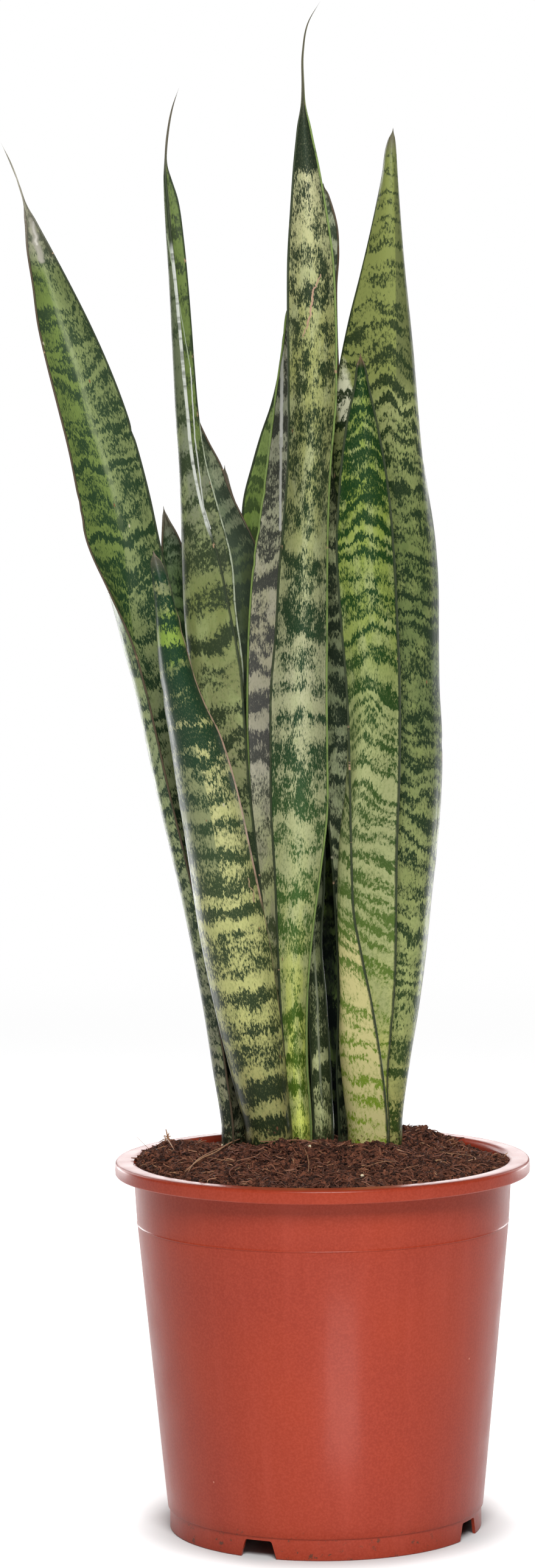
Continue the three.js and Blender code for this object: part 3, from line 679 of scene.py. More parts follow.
LEAVES = {
    "leaf_far_left": {
        "slot": "leaf_mottled", "period": 9, "order": 0.25, "weight": 0.8, "wave": 12, "ragged": 7,
        "sag": -0.25, "fleck": 0.7, "blotch": 0.5, "awn": 34, "dry_pale": (0.42, 0.4, 0.32),
        "margins": (BROWN_EDGE, DARK_EDGE), "rib": (515, 640, 3.0, (0.25, 0.3, 0.14), 0.4),
        "pale": [(200, (0.34, 0.33, 0.2)), (240, (0.18, 0.18, 0.12)), (350, (0.21, 0.24, 0.12)),
                 (420, (0.22, 0.26, 0.13)), (470, (0.108, 0.147, 0.039)), (570, (0.15, 0.205, 0.045)),
                 (620, (0.21, 0.26, 0.09)), (645, (0.34, 0.34, 0.24))],
        "deep": [(200, (0.012, 0.02, 0.01)), (470, (0.012, 0.035, 0.014)), (640, (0.03, 0.05, 0.025))],
        "tone": [(200, 0.5), (360, 0.44), (430, 0.45), (480, 0.51), (560, 0.49), (600, 0.46), (612, 0.54),
                 (622, 0.42), (650, 0.46)],
        "dry": [(640, 0.0), (652, 0.2), (668, 0.55), (676, 1.0), (704, 1.0)],
        "half_tints_and_shade": [(450, 645, "left", (0.13, 0.18, 0.048)), (450, 645, "right", (0.175, 0.215, 0.085))],
        "scratches": [((-144, 664), (-139.5, 644), 2.4, (0.3, 0.29, 0.24)),
                      ((-143.6, 663), (-141.5, 652), 0.9, (0.52, 0.5, 0.45)),
                      ((-147, 662), (-146, 640), 1.6, (0.035, 0.045, 0.03)),
                      ((-140, 660), (-134, 646), 1.3, (0.06, 0.07, 0.035))],
        "nicks": [("left", 512, 4, 0.6), ("left", 520, 3, 0.5), ("right", 556, 2.5, 0.7)],
    },
    "leaf_front_left": {
        "slot": "leaf_mottled", "period": 15, "order": 0.4, "weight": 0.9, "wave": 8, "ragged": 8,
        "fleck": 0.7, "blotch": 0.36, "line": 0.5, "wash": (0.33, 0.34, 0.13),
        "margins": (GREEN_EDGE, CORK),
        "pale": [(200, (0.24, 0.22, 0.08)), (260, (0.43, 0.43, 0.16)), (340, (0.41, 0.41, 0.18)),
                 (400, (0.38, 0.37, 0.18)), (436, (0.125, 0.155, 0.062)), (450, (0.125, 0.195, 0.028)),
                 (480, (0.16, 0.175, 0.095))],
        "deep": [(200, (0.012, 0.022, 0.008)), (340, (0.025, 0.045, 0.018)), (400, (0.008, 0.03, 0.014))],
        "tone": [(200, 0.58), (245, 0.48), (285, 0.46), (310, 0.46), (335, 0.53), (368, 0.48),
                 (394, 0.54), (402, 0.62), (428, 0.64), (440, 0.58), (448, 0.48), (462, 0.52),
                 (474, 0.56)],
        "dry": [(484, 0.0), (493, 0.8)], "half_tints_and_shade": [(330, 400, "left", (0.19, 0.21, 0.1))],
        "patches": [((-73, 452), (9, 14), (0.17, 0.26, 0.04), 0.8)],
        "scratches": [((-36, 330), (-33, 318), 0.5, (0.3, 0.22, 0.13))],
        # The right mark is a corky callus; the pale left one is a painted highlight on the rolled edge.
        "edge_scars_and_highlights": [("right", 318, 500, 1.9, (0.44, 0.29, 0.21)),
                       ("left", 210, 350, 0.9, (0.5, 0.53, 0.5))],
        "nicks": [("left", 424, 3, 1.0), ("right", 470, 6, 1.2), ("right", 455, 4, 0.8)],
    },
    "leaf_tall_left": {
        "slot": "leaf_mottled", "period": 20, "order": 0.4, "weight": 0.85, "ragged": 8, "sag": -0.3,
        "fleck": 0.65, "awn": 40,
        "pale": [(340, (0.06, 0.065, 0.045)), (365, (0.18, 0.19, 0.09)), (390, (0.2, 0.21, 0.1)),
                 (470, (0.15, 0.175, 0.055)), (530, (0.16, 0.175, 0.115)), (580, (0.15, 0.17, 0.11)),
                 (690, (0.16, 0.19, 0.09))],
        "deep": [(200, (0.012, 0.022, 0.01)), (690, (0.035, 0.05, 0.022))],
        "tone": [(350, 0.52), (380, 0.44), (440, 0.43), (500, 0.5), (560, 0.45), (690, 0.43)],
        "dry": [(686, 0.0), (702, 0.9), (732, 1.0)],
        "half_tints_and_shade": [(545, 695, "right", (0.115, 0.16, 0.045)), (560, 695, "left", (0.1, 0.12, 0.065))],
        # The pale lines along the inner fold and the pale marks along both margins are painted highlights.
        "painted_glints": [([(-75.3, 657), (-68, 612.5), (-64, 588.4)], 0.35, (0.26, 0.31, 0.2)),
                   ([(-64, 588.4), (-62, 552), (-58, 517.5), (-54.5, 506)], 0.45, (0.46, 0.48, 0.43))],
        "edge_scars_and_highlights": [("left", 505, 650, 1.0, (0.44, 0.46, 0.41)),
                       ("right", 430, 560, 0.45, (0.34, 0.38, 0.27))],
        "nicks": [("right", 418, 4, 0.8)],
    },
    "leaf_behind_left": {
        "slot": "leaf_dark", "period": 14, "wash": (0.12, 0.16, 0.09), "grain": (0.04, 0.07, 0.03),
        "margins": (BROWN_EDGE, BROWN_EDGE),
        "pale": [(200, (0.06, 0.085, 0.035)), (490, (0.075, 0.098, 0.045)), (520, (0.28, 0.31, 0.2)),
                 (550, (0.38, 0.42, 0.26))],
        "deep": [(200, (0.01, 0.02, 0.012)), (550, (0.05, 0.07, 0.045))],
        "tone": [(200, 0.5), (560, 0.5)], "dry": [(566, 0.0), (578, 0.8)],
    },
    "leaf_small_behind": {
        "slot": "leaf_dark", "wave": 8, "wash": (0.08, 0.08, 0.05), "grain": (0.03, 0.035, 0.02),
        "margins": (BROWN_EDGE, BROWN_EDGE),
        "pale": [(200, (0.06, 0.07, 0.03)), (500, (0.08, 0.08, 0.045))],
        "deep": [(200, (0.015, 0.02, 0.01)), (500, (0.03, 0.028, 0.02))],
        "tone": [(200, 0.52), (530, 0.55)], "dry": [(508, 0.0), (528, 0.9)],
    },
    "leaf_small_left": {
        "slot": "leaf_dark", "period": 9, "wave": 8, "ragged": 5, "wash": (0.05, 0.07, 0.03),
        "grain": (0.02, 0.035, 0.012), "margins": (BROWN_EDGE, BROWN_EDGE),
        "pale": [(200, (0.07, 0.11, 0.04)), (480, (0.09, 0.14, 0.05)), (505, (0.15, 0.18, 0.12))],
        "deep": [(200, (0.008, 0.018, 0.008)), (505, (0.014, 0.03, 0.012))],
        "tone": [(200, 0.5), (510, 0.48)], "dry": [(500, 0.0), (512, 0.9)],
    },
    "leaf_bright_behind": {
        "slot": "leaf_bright", "period": 15, "order": 0.2, "fleck": 0.42, "wash": (0.2, 0.28, 0.08),
        "grain": (0.08, 0.15, 0.03), "margins": (DARK_EDGE, GREEN_EDGE),
        # Below about 430 mm its tissue and bands are near black: painted shade where it shows through the
        # gap between the leaves in front.
        "pale": [(200, (0.02, 0.024, 0.022)), (430, (0.03, 0.04, 0.025)), (480, (0.07, 0.12, 0.021)),
                 (520, (0.16, 0.235, 0.05)), (580, (0.3, 0.38, 0.14))],
        "deep": [(200, (0.006, 0.008, 0.01)), (430, (0.01, 0.015, 0.01)), (470, (0.03, 0.05, 0.015)),
                 (560, (0.06, 0.1, 0.03))],
        "tone": [(200, 0.48), (600, 0.46)], "dry": [(600, 0.0), (612, 0.8)],
    },
    "leaf_pale_centre": {
        "slot": "leaf_pale", "period": 17, "weight": 0.9, "ragged": 7, "fleck": 0.7,
        "wash": (0.55, 0.52, 0.4), "grain": (0.34, 0.34, 0.22), "margins": (GREEN_EDGE, BROWN_EDGE),
        # Its tissue, most of all low down, is lighter than its own colour to make up for the deep shade
        # between the leaves: partly painted light.
        "pale": [(200, (0.62, 0.68, 0.22)), (310, (0.86, 0.9, 0.42)), (345, (0.76, 0.78, 0.44)),
                 (385, (0.8, 0.76, 0.6)), (410, (0.56, 0.53, 0.39)), (455, (0.5, 0.47, 0.31)),
                 (510, (0.44, 0.45, 0.3)), (565, (0.4, 0.42, 0.3))],
        "deep": [(200, (0.12, 0.18, 0.06)), (330, (0.11, 0.14, 0.07)), (400, (0.11, 0.11, 0.105)),
                 (500, (0.055, 0.06, 0.05)), (580, (0.06, 0.065, 0.05))],
        "tone": [(250, 0.5), (309, 0.4), (360, 0.45), (384, 0.44), (392, 0.58), (401, 0.44), (409, 0.44),
                 (417, 0.57), (426, 0.43), (440, 0.43), (449, 0.57), (458, 0.43), (470, 0.44),
                 (479, 0.57), (490, 0.47), (560, 0.5), (600, 0.5)],
        "dry": [(612, 0.0), (620, 0.8)],
        # The white lines down its right side are painted highlights.
        "painted_glints": [([(-16.8, 596), (-17.8, 548)], 1.2, (0.8, 0.8, 0.76)),
                   ([(-17.8, 552), (-18.6, 505)], 0.9, (0.6, 0.6, 0.55))],
        "nicks": [("left", 524, 2.5, 0.7), ("left", 505, 2, 0.6), ("left", 488, 2.5, 0.7)],
    },
    "leaf_tall_centre": {
        "slot": "leaf_mottled", "period": 17, "order": 0.15, "weight": 0.55, "wave": 12, "ragged": 9,
        "fleck": 0.95, "blotch": 0.7, "awn": 56, "wash": (0.37, 0.39, 0.22),
        "dry_pale": (0.16, 0.15, 0.1), "margins": (DARK_EDGE, GREEN_EDGE),
        "pale": [(200, (0.66, 0.71, 0.17)), (240, (0.66, 0.71, 0.19)), (265, (0.47, 0.5, 0.15)),
                 (330, (0.37, 0.39, 0.19)), (430, (0.38, 0.38, 0.24)), (500, (0.3, 0.315, 0.14)),
                 (600, (0.32, 0.33, 0.12)), (680, (0.46, 0.45, 0.26))],
        "deep": [(200, (0.06, 0.12, 0.008)), (330, (0.035, 0.085, 0.02)), (400, (0.012, 0.04, 0.018)),
                 (560, (0.015, 0.03, 0.013)), (700, (0.018, 0.03, 0.018))],
        "tone": [(200, 0.46), (213, 0.43), (219, 0.57), (225, 0.43), (231, 0.43), (236, 0.56),
                 (241, 0.43), (247, 0.55), (253, 0.43), (284, 0.42), (291, 0.58), (298, 0.43),
                 (312, 0.43), (319, 0.6), (327, 0.43), (345, 0.43), (370, 0.5), (390, 0.58), (404, 0.4),
                 (435, 0.4), (455, 0.55), (490, 0.46), (540, 0.49), (640, 0.47), (684, 0.42), (692, 0.75),
                 (716, 0.8)],
        "dry": [(712, 0.0), (728, 0.85), (772, 1.0)],
        "scratches": [((0.5, 627.6), (-3.6, 609.4), 0.7, (0.38, 0.24, 0.17)),
                      ((3.0, 634.0), (0.5, 627.6), 0.5, (0.38, 0.24, 0.17)),
                      ((-3.6, 609.4), (-5.0, 603.0), 0.5, (0.38, 0.24, 0.17))],
        "nicks": [("left", 562, 3, 0.5), ("right", 585, 2, 0.5), ("right", 560, 2, 0.4)],
    },
    "leaf_dark_centre": {
        "slot": "leaf_dark", "wash": (0.3, 0.35, 0.18), "grain": (0.12, 0.17, 0.07),
        "margins": (DARK_EDGE, BROWN_EDGE),
        "pale": [(200, (0.05, 0.06, 0.03)), (300, (0.34, 0.4, 0.2)), (350, (0.66, 0.7, 0.42)),
                 (430, (0.36, 0.42, 0.24)), (500, (0.72, 0.76, 0.42)), (630, (0.5, 0.52, 0.38))],
        "deep": [(200, (0.01, 0.016, 0.01)), (430, (0.03, 0.05, 0.03)), (640, (0.05, 0.07, 0.045))],
        "tone": [(200, 0.5), (430, 0.5), (640, 0.5)], "dry": [(668, 0.0), (680, 0.6)],
    },
    "leaf_striped_front": {
        "slot": "leaf_bright", "period": 9.5, "order": 0.45, "weight": 0.85, "wave": 9, "sag": 0.3,
        "fleck": 0.65, "blotch": 0.3, "wash": (0.3, 0.33, 0.15), "dry_pale": (0.25, 0.14, 0.08),
        "pale": [(190, (0.78, 0.69, 0.17)), (230, (0.46, 0.46, 0.14)), (290, (0.34, 0.365, 0.15)),
                 (350, (0.3, 0.32, 0.15)), (380, (0.32, 0.34, 0.16)), (420, (0.25, 0.285, 0.11)),
                 (450, (0.22, 0.265, 0.07)), (510, (0.21, 0.265, 0.05)), (560, (0.2, 0.26, 0.055))],
        "deep": [(190, (0.16, 0.24, 0.012)), (270, (0.09, 0.15, 0.02)), (350, (0.035, 0.07, 0.015)),
                 (450, (0.008, 0.035, 0.008)), (580, (0.004, 0.026, 0.006))],
        "tone": [(200, 0.45), (230, 0.44), (295, 0.46), (306, 0.57), (314, 0.46), (340, 0.44),
                 (400, 0.46), (470, 0.48), (500, 0.47), (516, 0.48), (524, 0.6), (542, 0.58), (556, 0.53),
                 (572, 0.52), (580, 0.6)],
        "dry": [(586, 0.0), (591, 0.9)], "half_tints_and_shade": [(190, 300, "left", (0.47, 0.43, 0.19))],
        "nicks": [("right", 497, 2, 0.4)],
    },
    "leaf_tall_right": {
        "slot": "leaf_mottled", "period": 9.5, "order": 0.35, "weight": 0.8, "wave": 11, "ragged": 6.5,
        "sag": 0.3, "crest": -3, "fleck": 0.7, "blotch": 0.45, "wash": (0.18, 0.21, 0.07),
        "pale": [(200, (0.44, 0.42, 0.14)), (260, (0.29, 0.33, 0.12)), (345, (0.21, 0.24, 0.09)),
                 (400, (0.115, 0.145, 0.055)), (500, (0.09, 0.12, 0.036)), (570, (0.23, 0.25, 0.1)),
                 (600, (0.18, 0.205, 0.06)), (650, (0.13, 0.15, 0.04))],
        "deep": [(200, (0.03, 0.06, 0.01)), (330, (0.008, 0.022, 0.007)), (550, (0.008, 0.02, 0.006)),
                 (680, (0.03, 0.042, 0.015))],
        "tone": [(200, 0.46), (330, 0.47), (450, 0.49), (560, 0.47), (600, 0.45), (612, 0.47), (640, 0.4),
                 (690, 0.39)],
        "dry": [(690, 0.0), (700, 0.8)],
        # The darker right half is painted shade, where that side turns away from the light.
        "half_tints_and_shade": [(575, 690, "right", (0.1, 0.115, 0.041)), (575, 690, "left", (0.165, 0.19, 0.054))],
        "patches": [((14.5, 572), (4.5, 17), (0.56, 0.56, 0.4), 0.9)],
        "nicks": [("left", 522, 3, 0.7), ("right", 395, 3, 0.4)],
    },
    "leaf_young_centre": {
        "slot": "leaf_dark", "period": 20, "order": 0.0, "wave": 8, "ragged": 12, "fleck": 0.5,
        "rib": (215, 290, 1.6, (0.25, 0.27, 0.18), 0.8),
        "pale": [(200, (0.48, 0.5, 0.25)), (260, (0.44, 0.46, 0.25)), (310, (0.24, 0.27, 0.16))],
        "deep": [(200, (0.025, 0.04, 0.014)), (310, (0.015, 0.025, 0.014))],
        "tone": [(200, 0.54), (260, 0.56), (320, 0.5)], "dry": [(346, 0.0), (353, 0.6)],
    },
}


def make_leaves():
    for seed, (name, own_look) in enumerate(LEAVES.items()):
        look = ORDINARY_LOOK | own_look
        material = leaf_skin(name, look, float(seed))
        link_piece(name + "_blade", leaf_mesh(name, look), material, look["slot"], name)


# ---- The pot ----

POT_SEGMENTS = 192
WALL = 1.6
LIP_HEIGHT = 7.0
LIP_OVERHANG = 9.4
SKIRT_HEIGHT = 11.0
FLOOR_UNDERSIDE = 9.4
HUB_RADIUS = 20.5
# The foot's radius as a share of the rim's, and the seam's height as a share of the pot's.
FOOT_SHARE = 80.2 / 105
SEAM_SHARE = 0.83
# The wall's radius under and over the seam, and the seam as (radius, height from the seam).
UNDER_SEAM = 94
OVER_SEAM = 94.2
SEAM_STEP = [(93.9, -0.5), (94.25, -0.25), (94.35, 0), (94.2, 0.3), (94.15, 0.8)]
# Half of a drainage notch, seen from the front, as (across, height), where the first of four lies, in
# degrees, and the radii that its block spans.
NOTCH_OUTLINE = [(10.35, -2), (7.5, 7.7), (7.1, 8.6), (6.2, 9)]
NOTCH_ANGLE = -25
NOTCH_RADII = (90, 70)
# The eight drain holes' distance from the axis, and their radius.
DRAIN_RING = 52
DRAIN_RADIUS = 5


def arc(centre_x, centre_z, radius, start, end, steps):
    """Points on an arc of the section, in millimetres, between two angles in degrees."""
    angles = np.radians(np.linspace(start, end, steps))
    return [(centre_x + radius * math.cos(a), centre_z + radius * math.sin(a)) for a in angles]


def pot_section(rim, height, foot):
    """The pot's closed section, as (radius, height) in millimetres, up its outside and down its inside."""
    body_top = rim - LIP_OVERHANG
    seam = SEAM_SHARE * height
    lip_foot = height - LIP_HEIGHT
    skirt = foot - 1.0
    hollow = skirt - WALL

    def inner(z):
        return np.interp(z, (SKIRT_HEIGHT, height), (foot - WALL, body_top - WALL))

    section = [(0, 0.0), (HUB_RADIUS, 0.0)]
    section += arc(HUB_RADIUS, 1.5, 1.5, -90, 0, 4)[1:]
    section += [(22, FLOOR_UNDERSIDE), (hollow, FLOOR_UNDERSIDE), (hollow, 0.7), (hollow + 0.4, 0.1)]
    section += [(skirt - 0.5, 0.0), (skirt, 0.5), (skirt, SKIRT_HEIGHT - 0.4), (skirt + 0.3, SKIRT_HEIGHT)]
    section += [(foot - 0.3, SKIRT_HEIGHT), (foot, SKIRT_HEIGHT + 0.5)]
    section += [(foot + (UNDER_SEAM - foot) * t, SKIRT_HEIGHT + (seam - 1 - SKIRT_HEIGHT) * t)
                for t in np.linspace(0.04, 0.99, 22)]
    section += [(radius, seam + up) for radius, up in SEAM_STEP]
    section += [(OVER_SEAM + (body_top - OVER_SEAM) * t, seam + 1 + (lip_foot - seam - 1) * t)
                for t in np.linspace(0.15, 1, 6)]
    section += [(body_top + 0.2, height - WALL - 1.2), (body_top + 1.4, height - WALL)]
    section += [(rim - WALL - 1, height - WALL), (rim - WALL, height - WALL - 1)]
    section += [(rim - WALL, lip_foot + 0.4), (rim - WALL + 0.4, lip_foot)]
    section += [(rim - 0.5, lip_foot), (rim - 0.1, lip_foot + 0.5)]
    section += [(rim, lip_foot + 2.5), (rim - 0.15, height - 1.9)]
    section += arc(rim - 1.75, height - 1.8, 1.6, 8, 84, 7)
    section += [(rim - 3.4, height), (inner(height) + 3.6, height - 0.05)]
    section += arc(inner(height) + 3.2, height - 3.4, 3.3, 95, 176, 7)
    section += [(inner(z), z) for z in np.linspace(height - 5, SKIRT_HEIGHT + 1, 16)]
    section += [(inner(SKIRT_HEIGHT) - 1, SKIRT_HEIGHT), (20.4, SKIRT_HEIGHT), (20.4, WALL), (0, WALL)]
    return section


def join_rings(bm, rings, segments):
    """Faces between rings of points that follow one another. A ring may be one point, on the axis."""
    for low, high in zip(rings, rings[1:]):
        for i in range(segments):
            j = (i + 1) % segments
            corners = [low[i % len(low)], low[j % len(low)], high[j % len(high)], high[i % len(high)]]
            bm.faces.new(list(dict.fromkeys(corners)))


def lathe(name, section, segments):
    """A closed mesh turned round the vertical axis from a section that starts and ends on it."""
    bm = bmesh.new()
    rings = []
    for radius, height in section:
        points = circle(radius, height, segments if radius else 1)
        rings.append([bm.verts.new((x * MM, y * MM, z * MM)) for x, y, z in points])
    join_rings(bm, rings, segments)
    bmesh.ops.recalc_face_normals(bm, faces=bm.faces)
    return mesh_of(bm, name)


def notch_block(angle):
    """A tapered block with rounded top corners, which cuts one drainage notch in the skirt."""
    lowest, *others = NOTCH_OUTLINE
    corners = [(-lowest[0], lowest[1]), *NOTCH_OUTLINE, *[(-x, z) for x, z in reversed(others)]]
    bm = bmesh.new()
    near, far = ([bm.verts.new((x * MM, -radius * MM, z * MM)) for x, z in corners]
                 for radius in NOTCH_RADII)
    count = len(corners)
    for i in range(count):
        j = (i + 1) % count
        bm.faces.new((near[i], near[j], far[j], far[i]))
    bm.faces.new(near[::-1])
    bm.faces.new(far)
    bmesh.ops.recalc_face_normals(bm, faces=bm.faces)
    bmesh.ops.rotate(bm, cent=(0, 0, 0), matrix=Matrix.Rotation(angle, 3, "Z"), verts=bm.verts)
    return mesh_of(bm, "notch")


def drain_peg(angle):
    """A round peg that cuts one drain hole in the floor."""
    bm = bmesh.new()
    place = Matrix.Rotation(angle, 4, "Z") @ Matrix.Translation((0, -DRAIN_RING * MM, 10.2 * MM))
    radius = DRAIN_RADIUS * MM
    bmesh.ops.create_cone(bm, segments=32, radius1=radius, radius2=radius, depth=6 * MM, cap_ends=True,
                          matrix=place)
    return mesh_of(bm, "peg")


def cut_away(mesh, cutters):
    """The mesh with the cutters' meshes taken out of it."""
    work = add_object("pot_blank", mesh)
    bm = bmesh.new()
    for cutter in cutters:
        bm.from_mesh(cutter)
    tool = add_object("cutters", mesh_of(bm, "cutters"))
    cut = work.modifiers.new("cut", "BOOLEAN")
    cut.operation = "DIFFERENCE"
    cut.solver = "EXACT"
    cut.object = tool
    result = plain_mesh(work)
    bpy.data.objects.remove(tool)
    return result


def pot_plastic():
    """Slightly cloudy red plastic, with flow lines, dust specks, and soil splashed on its foot and rim."""
    g = Graph("terracotta_plastic")
    place = g.place()
    x, y, z = g.split(place)
    cloud = g.noise(place, 3.0, 0.55, 14.0)
    grain = g.noise(place, 2.0, 0.6, 900.0)
    base = g.mix(g.rise(cloud, 0.3, 0.72), (0.272, 0.032, 0.012), (0.243, 0.028, 0.013))
    base = g.mix(g.times(g.rise(grain, 0.35, 0.7), 0.35), base, (0.37, 0.056, 0.028))
    flow = g.noise(g.join(g.times(x, 90.0), g.times(y, 90.0), g.times(z, 6.0)), 3.0)
    base = g.mix(g.times(g.rise(flow, 0.45, 0.8), 0.25), base, (0.36, 0.058, 0.034))
    dust = g.spots(place, 55.0, 0.86, 0.045, 0.025)[0]
    base = g.mix(g.times(dust, 0.6), base, (0.56, 0.22, 0.15))
    soiling = g.noise(place, 4.0, 0.7, 260.0)
    near_foot = g.rise(z, 26 * MM, 4 * MM)
    near_rim = g.rise(z, 184 * MM, 187 * MM)
    stain = g.rise(g.plus(soiling, g.times(near_foot, 0.1)), 0.70, 0.76)
    base = g.mix(g.times(stain, g.math("MAXIMUM", near_foot, near_rim)), base, (0.11, 0.035, 0.02))
    roughness = g.gloss(g.noise(place, 2.0, 0.5, 60.0), 0.3, 0.38)
    g.shade({"Base Color": base, "Roughness": roughness, "Specular IOR Level": 0.12,
             "Coat Weight": 0.12, "Coat Roughness": 0.18})
    g.bump(g.plus(g.times(grain, 0.4), g.times(flow, 1.2)), 0.18, 0.0004)
    return g.material


def make_pot():
    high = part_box("pot")[1]
    rim = high.x / MM
    mesh = lathe("pot", pot_section(rim, high.z / MM, FOOT_SHARE * rim), POT_SEGMENTS)
    notches = [notch_block(math.radians(NOTCH_ANGLE) + math.tau * i / 4) for i in range(4)]
    pegs = [drain_peg(math.tau * i / 8) for i in range(8)]
    mesh = cut_away(mesh, notches + pegs)
    smooth(mesh, 32)
    link_piece("nursery_pot", mesh, pot_plastic(), "pot_plastic", "pot")


# ---- The soil ----

SOIL_RINGS = 60
SOIL_SEGMENTS = 160
# How far the bed's top stops short of the CAD soil's edge, and then how far in from there the bed's wall
# and floor lie.
SOIL_INSET = 0.6
BED_WALL_INSET = 0.5
BED_FLOOR_INSET = 14.2
BED_FLOOR = 11.5
# No part of the top lies lower than this, so whatever is found under it is the floor of a leaf's hole.
LOWEST_TOP = 170
# The soil is raised at the left and the right, from this radius on, over this much of the radius.
SIDE_LIFT = 2.2
SIDE_LIFT_START = 55
SIDE_LIFT_REACH = 35
# Near the pot's wall it is held down to this height, in the same way.
LIP_FILL = 187.2
LIP_FILL_START = 84
LIP_FILL_REACH = 9
# The bed's top ends in a narrow ring by the pot's wall, which lies so much further out and lower.
BRIM_WIDTH = 1.3
BRIM_DROP = 0.3
# Small heaps on the bed, and one hollow: the place across and back, the height and the reach.
HEAPS = [(-80, 34, 1.2, 6), (-64, 62, -5.0, 22), (37, 44, 4.0, 8), (-18, -8, 4.5, 6), (28, -2, 2.5, 8)]

CRUMB_COUNT = 7600
GRIT_COUNT = 9000
FIBRE_COUNT = 3200
STRAW_COUNT = 22
PERLITE_COUNT = 7
# How far from the pot's axis the small bits and the long ones are strewn, and how far out a laid straw
# finds the bed under it.
BITS_REACH = 94.6
STRAWS_REACH = 78
BED_REACH = 90

# The loose roots and straws that lie over the bed: points across, back and above it, then how thick
# each is. They are held up by this height, so that the crumbs don't bury them.
LAID_HEIGHT = 2.3
LAID_STRAWS = [
    ([(-38, 52, 1.5), (-44, 30, 1.6), (-49, 10, 1.4), (-54, -15, 1.2), (-62, -31, 1.3),
      (-68, -58, 0.8)], 0.8),
    ([(-48, 12, 1.0), (-56, -7, 1.5), (-65, -39, 1.2), (-66, -60, 0.8)], 0.6),
    ([(-84, 34, 0.8), (-80, 26, 2.2), (-77, 8, 1.8), (-75, -5, 0.8)], 0.7),
    ([(-58, -22, 0.8), (-52, -30, 1.3), (-44, -34, 0.8)], 0.5),
    ([(-9, -14, 0.8), (-6, -36, 1.6), (-7, -58, 0.8)], 0.5),
    ([(22, -48, 0.8), (30, -40, 1.6), (37, -37, 0.8)], 0.5),
    ([(60, 10, 0.6), (68, 2, 1.8), (76, 0, 0.8)], 0.5),
    ([(-79, 42, -1.5), (-79.6, 42, 2.0), (-80.6, 42, 7.0)], 1.3),
    ([(-77.5, 42, -1.5), (-80.5, 41, 2.0), (-79.0, 41, 4.6)], 1.1),
    ([(-81.5, 41, -1.5), (-79.5, 41, 1.5), (-81.8, 41, 3.6)], 1.1),
    ([(-78.0, 41, 0.5), (-80.0, 42, 3.0), (-81.6, 41, 4.0)], 0.9),
    ([(-81.5, 42, 1.0), (-79.6, 41, 2.6), (-78.2, 42, 3.0)], 1.0),
    ([(-88, 22, -1.0), (-91, 22, 2.0), (-95, 22, 6.5)], 0.35),
]


def soil_heights():
    """The height of the soil's top on a polar grid. It follows the CAD soil, with the leaves' holes
    bridged over and its sides, rim and heaps shaped."""
    bm = bmesh.new()
    bm.from_mesh(frame["nodes"]["potting_soil"].data)
    tree = BVHTree.FromBMesh(bm)
    bm.free()
    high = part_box("potting_soil")[1]
    edge = high.x - SOIL_INSET * MM
    radii = [edge * (ring + 0.5) / SOIL_RINGS for ring in range(SOIL_RINGS)]
    grid = [circle(radius, high.z + 0.05, SOIL_SEGMENTS) for radius in radii]
    heights = np.full((SOIL_RINGS, SOIL_SEGMENTS), np.nan)
    for ring, turn in np.ndindex(heights.shape):
        hit = tree.ray_cast(Vector(grid[ring][turn]), DOWN)[0]
        if hit and hit.z > LOWEST_TOP * MM:
            heights[ring, turn] = hit.z
    while np.isnan(heights).any():
        around = [np.roll(heights, 1, 1), np.roll(heights, -1, 1)]
        around += [np.vstack([heights[:1], heights[:-1]]), np.vstack([heights[1:], heights[-1:]])]
        stack = np.array(around)
        known = ~np.isnan(stack)
        mean = np.where(known, stack, 0).sum(axis=0) / np.maximum(known.sum(axis=0), 1)
        fill = np.isnan(heights) & known.any(axis=0)
        heights[fill] = mean[fill]
    for ring, turn in np.ndindex(heights.shape):
        radius = radii[ring] / MM
        x, y = grid[ring][turn][0] / MM, grid[ring][turn][1] / MM
        sideways = math.sin(math.tau * turn / SOIL_SEGMENTS) ** 2
        lift = SIDE_LIFT * swell((radius - SIDE_LIFT_START) / SIDE_LIFT_REACH) * sideways
        for heap_x, heap_y, height, reach in HEAPS:
            lift += height * math.exp(-((x - heap_x) ** 2 + (y - heap_y) ** 2) / reach**2)
        raised = heights[ring, turn] + lift * MM
        level = min(raised, LIP_FILL * MM)
        held = swell((radius - LIP_FILL_START) / LIP_FILL_REACH)
        heights[ring, turn] = raised + (level - raised) * held
    return heights, edge


def soil_bed():
    """The soil as one closed body: a heaped top on the pot's inner wall and floor."""
    heights, edge = soil_heights()
    bm = bmesh.new()
    middle = bm.verts.new((0, 0, heights[0].mean()))
    rings = []
    for ring in range(SOIL_RINGS):
        points = circle(edge * (ring + 1) / SOIL_RINGS, 0, SOIL_SEGMENTS)
        rings.append([bm.verts.new((x, y, z)) for (x, y, _), z in zip(points, heights[ring])])
    wider = 1 + BRIM_WIDTH * MM / edge
    places = [vertex.co.copy() for vertex in rings[-1]]
    rings.append([bm.verts.new((x * wider, y * wider, z - BRIM_DROP * MM)) for x, y, z in places])
    for inset, height in ((BED_WALL_INSET, LOWEST_TOP), (BED_FLOOR_INSET, BED_FLOOR)):
        points = circle(edge - inset * MM, height * MM, SOIL_SEGMENTS)
        rings.append([bm.verts.new(point) for point in points])
    for i in range(SOIL_SEGMENTS):
        bm.faces.new((middle, rings[0][i], rings[0][(i + 1) % SOIL_SEGMENTS]))
    for low, high in zip(rings, rings[1:]):
        for i in range(SOIL_SEGMENTS):
            j = (i + 1) % SOIL_SEGMENTS
            bm.faces.new((low[i], high[i], high[j], low[j]))
    bm.faces.new(rings[-1])
    bmesh.ops.recalc_face_normals(bm, faces=bm.faces)
    return mesh_of(bm, "soil_bed")


